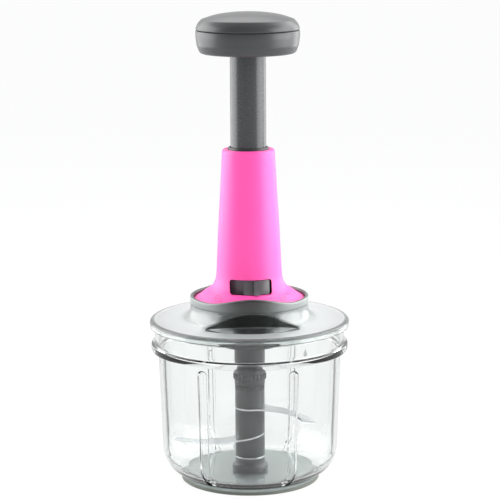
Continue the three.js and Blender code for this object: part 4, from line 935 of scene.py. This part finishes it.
# %% Hub housing and its cover
HUB_SCREWS = (18.6, (90, 210, 330))
hub_outline = rounded([
    (17.9, 94.2), (20, 94.2, 0.3), (20, 110.6, 1.2), (12.6, 110.6, 0.8), (12.6, 116.8),
    (28.6, 116.8, 0.5), (28.6, 119, 0.5), (9.9, 119), (9.9, 110.6), (5.75, 110.6), (5.75, 108.6),
    (17.9, 108.6),
], 4)
hub_mesh = carved(spun(dense(hub_outline, 5), 160), rods(2.5, 94.2, 108.7, *HUB_SCREWS), "UNION")
blind_holes = rods(1.25, 91, 101.4, *HUB_SCREWS, 24)
hub_mesh = carved(hub_mesh, together(blind_holes, rods(1.85, 113, 123, *TOWER_SCREWS, 24)))
add_piece("hub", hub_mesh, dark_plastic, "lid", "hub_housing")

cover_outline = rounded([(10.55, 91.7, 0.3), (21.4, 91.7, 0.9), (21.4, 93.9, 0.4), (10.55, 93.9)], 5)
cover_mesh = carved(spun(dense(cover_outline, 4), 160), rods(2.45, 90, 93.05, *HUB_SCREWS))
cover_mesh = carved(cover_mesh, rods(1.45, 88, 97, *HUB_SCREWS, 24))
add_piece("cover", cover_mesh, dark_plastic, "lid", "hub_cover")

# %% [markdown]
# ## Drive sleeve and blade column
# The sleeve reaches down into the bowl and grips the lobed stub of the blade column. Below it the
# column shows a crown of fine flutes, and then one spacer after another, with a blade clamped
# between each pair. All of them are spun, and then a rule moves the vertices: in and out for teeth
# and lobes, up for the ratchet's ramps, and up or down where the middle blade's hub is tilted.

# %% Teeth and lobes round the axis
def tooth_share(place, count):
    """From 0 at a root to 1 at a tip, for a number of teeth round the axis."""
    turns = math.atan2(place.y, place.x) / math.tau * count
    return abs((turns % 1) * 2 - 1)


def radially(place, change):
    """A place moved out by a change of radius."""
    radius = math.hypot(place.x, place.y)
    scale = (radius + change) / radius if radius > 0.01 else 1
    return Vector((place.x * scale, place.y * scale, place.z))


LOBES = 8
LOBE_DEPTH = 0.5


def lobes(place):
    return radially(place, LOBE_DEPTH * math.cos(LOBES * math.atan2(place.y, place.x)))


def shape_sleeve(place, _normal):
    radius = math.hypot(place.x, place.y)
    if radius < 8 and place.z < 79.5:
        return lobes(place)
    if radius > 10.6 and 67 < place.z < 72:
        return radially(place, -0.5 * (1 - smooth_step(tooth_share(place, 24), 0.2, 0.8)))
    if 9.3 < radius < 15.6 and place.z > 96.7:
        ramp = min(1, (math.atan2(place.y, place.x) / math.tau * 8 % 1) / 0.94)
        return place + Vector((0, 0, 1.8 * ramp))
    return place


def ring_tooth(height):
    """Corners of the grip ring at one of its edges."""
    corners = [(10.2, height), (11.1, height, 0.25)]
    return corners if height < 69 else corners[::-1]


sleeve_outline = rounded([
    (0, 79.1), (6.75, 79.1), (6.75, 64.1), (10.2, 64.1, 0.5), *ring_tooth(67.7), *ring_tooth(71.5),
    (10.2, 94.2), (15.4, 94.2, 0.4), (15.4, 96.8), (9.4, 96.8), (9.35, 96.6), (3.35, 96.6),
    (3.35, 89.5), (0, 89.5),
], 3)
sleeve_mesh = reshape(spun(dense(sleeve_outline, 3), 240), shape_sleeve)
add_piece("sleeve", sleeve_mesh, dark_plastic, "spindle", "drive_sleeve")


# %% Column pieces
MIDDLE_AZIMUTH = 177
TILT = 0.24


def tilted(place):
    """The place moved with the middle blade's hub, which is lower on the arm's side."""
    azimuth = math.radians(MIDDLE_AZIMUTH)
    along = place.x * math.cos(azimuth) + place.y * math.sin(azimuth)
    return place + Vector((0, 0, -TILT * along))


def shape_crown(place, _normal):
    radius = math.hypot(place.x, place.y)
    if radius > 8.5 and place.z > 61.2:
        return radially(place, -0.55 * (1 - smooth_step(tooth_share(place, 32), 0.15, 0.85)))
    if place.z > 63 and 5 < radius < 7:
        return lobes(place)
    return place


foot_outline = rounded([
    (2.5, 10.15), (5.35, 10.15), (5.35, 6.75), (11.9, 6.75, 0.5), (11.9, 8.45, 0.5), (9.9, 9.85, 0.6),
    (9.9, 13.85, 0.25), (6.2, 13.85), (6.2, 16.85), (2.5, 16.85),
], 4)
add_piece("foot", spun(foot_outline, 128), column_grey, "blades", "column_foot")


def tilt_lower_top(place, _normal):
    radius = math.hypot(place.x, place.y)
    return tilted(place) if radius > 6.1 and 27 < place.z < 28 else place


def tilt_middle_foot(place, _normal):
    return tilted(place) if 28 < place.z < 29.3 else place


lower_outline = rounded([
    (6.35, 15.25), (9.9, 15.25, 0.25), (9.9, 27.45, 0.25), (6.2, 27.45), (6.2, 34.1), (0, 34.1),
    (0, 27.95), (2.5, 27.95), (2.5, 17), (6.35, 17),
], 3)
lower_mesh = reshape(spun(lower_outline, 128), tilt_lower_top)
add_piece("spacer_low", lower_mesh, column_grey, "blades", "lower_spacer")

middle_outline = rounded([
    (6.35, 28.85), (9.9, 28.85, 0.25), (9.9, 47.35, 0.25), (6.2, 47.35), (6.2, 50.35), (0, 50.35),
    (0, 34.25), (6.35, 34.25),
], 3)
middle_mesh = reshape(spun(middle_outline, 128), tilt_middle_foot)
add_piece("spacer_middle", middle_mesh, column_grey, "blades", "middle_spacer")

top_outline = rounded([
    (6.35, 48.75), (9.9, 48.75, 0.25), (9.9, 61.1), (9.9, 61.3), (9.9, 63.8, 0.3), (6.4, 63.8),
    (6.4, 76.8, 0.5), (0, 76.8), (0, 50.5), (6.35, 50.5),
], 3)
crown_mesh = reshape(spun(top_outline, 256), shape_crown)
add_piece("column_crown", crown_mesh, column_grey, "blades", "column_top")

# %% [markdown]
# ## Blades
# Each blade is stamped from thin steel: a hub disc with a curved arm. The arm is a grid drawn out
# between two curves, the cutting edge and the back, whose corners are shares of its reach and its
# width. Its upper side is ground down towards the edge. Then it is bent: the upper blade droops, and
# the middle one has its hub tilted.

# %% Blade shapes
BLADE_THICKNESS = 1.1
EDGE_THICKNESS = 0.18
GRIND_WIDTH = 4.2
HUB_RADIUS = 9.9
HUB_HOLE = 6.5
TILT_FADE = 9

UPPER = {"level": 47.5, "azimuth": -25, "reach": 51.2, "width": 18, "droop": 3.4, "tilt": 0}
UPPER["edge"] = [(0.08, 0.5), (0.67, 0.58), (0.975, -0.55)]
UPPER["back"] = [(0.1, -0.42), (0.62, 0), (0.82, -0.78)]
MIDDLE = {"level": 27.6, "azimuth": MIDDLE_AZIMUTH, "reach": 52.6, "width": 18, "droop": -0.6, "tilt": TILT}
MIDDLE["edge"] = [(0.04, 0.48), (0.68, 0.33), (0.995, -0.3)]
MIDDLE["back"] = [(0.1, -0.48), (0.6, -0.06), (0.95, -0.54)]
LOWER = {"level": 14.0, "azimuth": 99, "reach": 50.5, "width": 17, "droop": 0, "tilt": 0}
LOWER["edge"] = [(0.08, 0.5), (0.67, 0.5), (0.985, -0.24)]
LOWER["back"] = [(0.1, -0.44), (0.62, -0.06), (0.88, -0.5)]


def on_curve(form, curve, share):
    """A point of the quadratic curve with three given corners, in millimetres."""
    weights = ((1 - share) ** 2, 2 * share * (1 - share), share**2)
    along, aside = (sum(w * c[i] for w, c in zip(weights, form[curve])) for i in (0, 1))
    return along * form["reach"], aside * form["width"]


def blade(form):
    """A hub disc and an arm between two curves, ground to an edge, bent and turned to its place."""
    arm = bmesh.new()
    bmesh.ops.create_grid(arm, x_segments=48, y_segments=12, size=0.5)
    raised(arm, 1)
    for v in arm.verts:
        share, across, top = v.co.x + 0.5, v.co.y + 0.5, v.co.z > 0.5
        edge_point, back_point = on_curve(form, "edge", share), on_curve(form, "back", share)
        x, y = (b + (e - b) * across for e, b in zip(edge_point, back_point))
        ground = 1 - min(1, math.dist((x, y), edge_point) / GRIND_WIDTH)
        ground *= smooth_step(math.hypot(x, y), 11, 14)
        height = BLADE_THICKNESS - (BLADE_THICKNESS - EDGE_THICKNESS) * ground
        v.co = Vector((x, y, height if top else 0)) * MM
    bmesh.ops.recalc_face_normals(arm, faces=arm.faces)
    ring = [(HUB_HOLE, 0), (HUB_RADIUS, 0), (HUB_RADIUS, BLADE_THICKNESS), (HUB_HOLE, BLADE_THICKNESS)]
    hole = rods(HUB_HOLE, -3, 4, 0, (0,), 128)
    flat = carved(carved(arm, spun(ring, 128), "UNION"), hole)
    return reshape(flat, lambda place, _normal: bent(place, form))


def bent(place, form):
    """Lowers an arm towards its tip, and tilts the hub along the arm."""
    past = max(0.0, place.x - HUB_RADIUS)
    along = min(place.x, HUB_RADIUS) + TILT_FADE * (1 - math.exp(-past / TILT_FADE))
    drop = form["tilt"] * along + form["droop"] * (past / (form["reach"] - HUB_RADIUS)) ** 2
    low = Vector((place.x, place.y, place.z - drop + form["level"]))
    low.rotate(Matrix.Rotation(math.radians(form["azimuth"]), 3, "Z"))
    return low


# %% Blade steel
def brushed(name, azimuth):
    """Steel with fine scratches along the blade, which points at an azimuth."""
    colour = (0.64, 0.65, 0.66, 1)
    finish = Finish(name)
    x, y, z = finish.axes()
    cosine, sine = math.cos(math.radians(azimuth)), math.sin(math.radians(azimuth))
    along, across = x * cosine + y * sine, y * cosine - x * sine
    lines = finish.add("ShaderNodeCombineXYZ", {0: along * 0.05, 1: across * 2.2, 2: z * 2.2})
    scratches = finish.add("ShaderNodeTexNoise", {"Vector": lines, "Scale": 1.0, "Detail": 3.0})
    patches = finish.noise(9, 3)
    finish.set(base_color=finish.blend(patches.step(0.35, 0.65), shaded(colour, 0.9), colour))
    finish.set(metallic=1.0, roughness=0.22 + (scratches - 0.5) * 0.25 + (patches - 0.5) * 0.1)
    return finish.bump(scratches, 0.012, 0.5)


for word, form in (("upper", UPPER), ("middle", MIDDLE), ("lower", LOWER)):
    blade_steel = brushed(f"steel_blade_{word}", form["azimuth"])
    add_piece(f"blade_{word}", blade(form), blade_steel, "blades", f"{word}_blade", sharp=25)

# %% [markdown]
# ## Pieces inside
# Screws, the spindle and its nut, the bearing, the washer and the ratchet are hidden in the tower and the
# hub. Their CAD shapes are right, so they only get finer finishes. The return spring is made anew: one
# closed coil between the heights of the CAD spring.

# %% Finishes for carried pieces
def steel(name, colour, roughness, scale=1.6):
    finish = Finish(name)
    fine = finish.noise(scale, 4)
    patches = finish.noise(7, 2)
    finish.set(base_color=finish.blend(patches.step(0.3, 0.7), shaded(colour, 0.88), colour))
    finish.set(metallic=1.0, roughness=roughness + (fine - 0.5) * 0.2)
    return finish.bump(fine, 0.01, 0.3)


screw_steel = steel("screw_steel", (0.62, 0.63, 0.65, 1), 0.32)
drive_steel = steel("drive_steel", (0.66, 0.67, 0.69, 1), 0.26)
spring_steel = steel("spring_steel", (0.70, 0.71, 0.73, 1), 0.3, 0.8)
pale_pieces = ("drive_nut", "spring_seat", "spindle_bearing", "ratchet_driver")
kept_finishes = dict.fromkeys(("spindle", "pivot_pin", "thrust_washer"), drive_steel)
kept_finishes |= dict.fromkeys(pale_pieces, pale_acetal)
kept_finishes |= {name: screw_steel for name in nodes if "_screw_" in name}
kept_finishes |= {"ratchet_spring": spring_steel, "lock_ring": lock_dark}
for name, finish in kept_finishes.items():
    for slot in nodes[name].material_slots:
        slot.material = finish.material
print("CAD pieces with a new finish:", len(kept_finishes))


# %% Return spring
COIL_RADIUS = 8.25
WIRE = 0.6
OPEN_LOOPS = 13
CLOSED_PITCH = 1.8
LOOP_STEPS = 48


def coil(low, high):
    """A spring of round wire between two heights. Its first and last loops lie closer together."""
    open_pitch = (high - low - 2 * WIRE - 2 * CLOSED_PITCH) / OPEN_LOOPS
    bm = bmesh.new()
    bmesh.ops.create_circle(bm, segments=12, radius=WIRE * MM)
    turn_all(bm, math.pi / 2, "X")
    bmesh.ops.translate(bm, verts=bm.verts, vec=(COIL_RADIUS * MM, 0, (low + WIRE) * MM))
    last = bm.verts[:] + bm.edges[:]
    for loops, pitch in ((1, CLOSED_PITCH), (OPEN_LOOPS, open_pitch), (1, CLOSED_PITCH)):
        around = {"cent": (0, 0, 0), "axis": (0, 0, 1), "angle": math.tau * loops}
        rise = {"dvec": (0, 0, pitch * MM / LOOP_STEPS), "steps": LOOP_STEPS * loops}
        last = bmesh.ops.spin(bm, geom=last, **around, **rise)["geom_last"]
    bmesh.ops.holes_fill(bm, edges=bm.edges, sides=0)
    bmesh.ops.recalc_face_normals(bm, faces=bm.faces)
    return bm


foot, head = (corner.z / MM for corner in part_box("return_spring"))
spring = add_piece("plunger_spring", coil(foot, head), spring_steel, "lid", "return_spring", sharp=60)
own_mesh(spring)
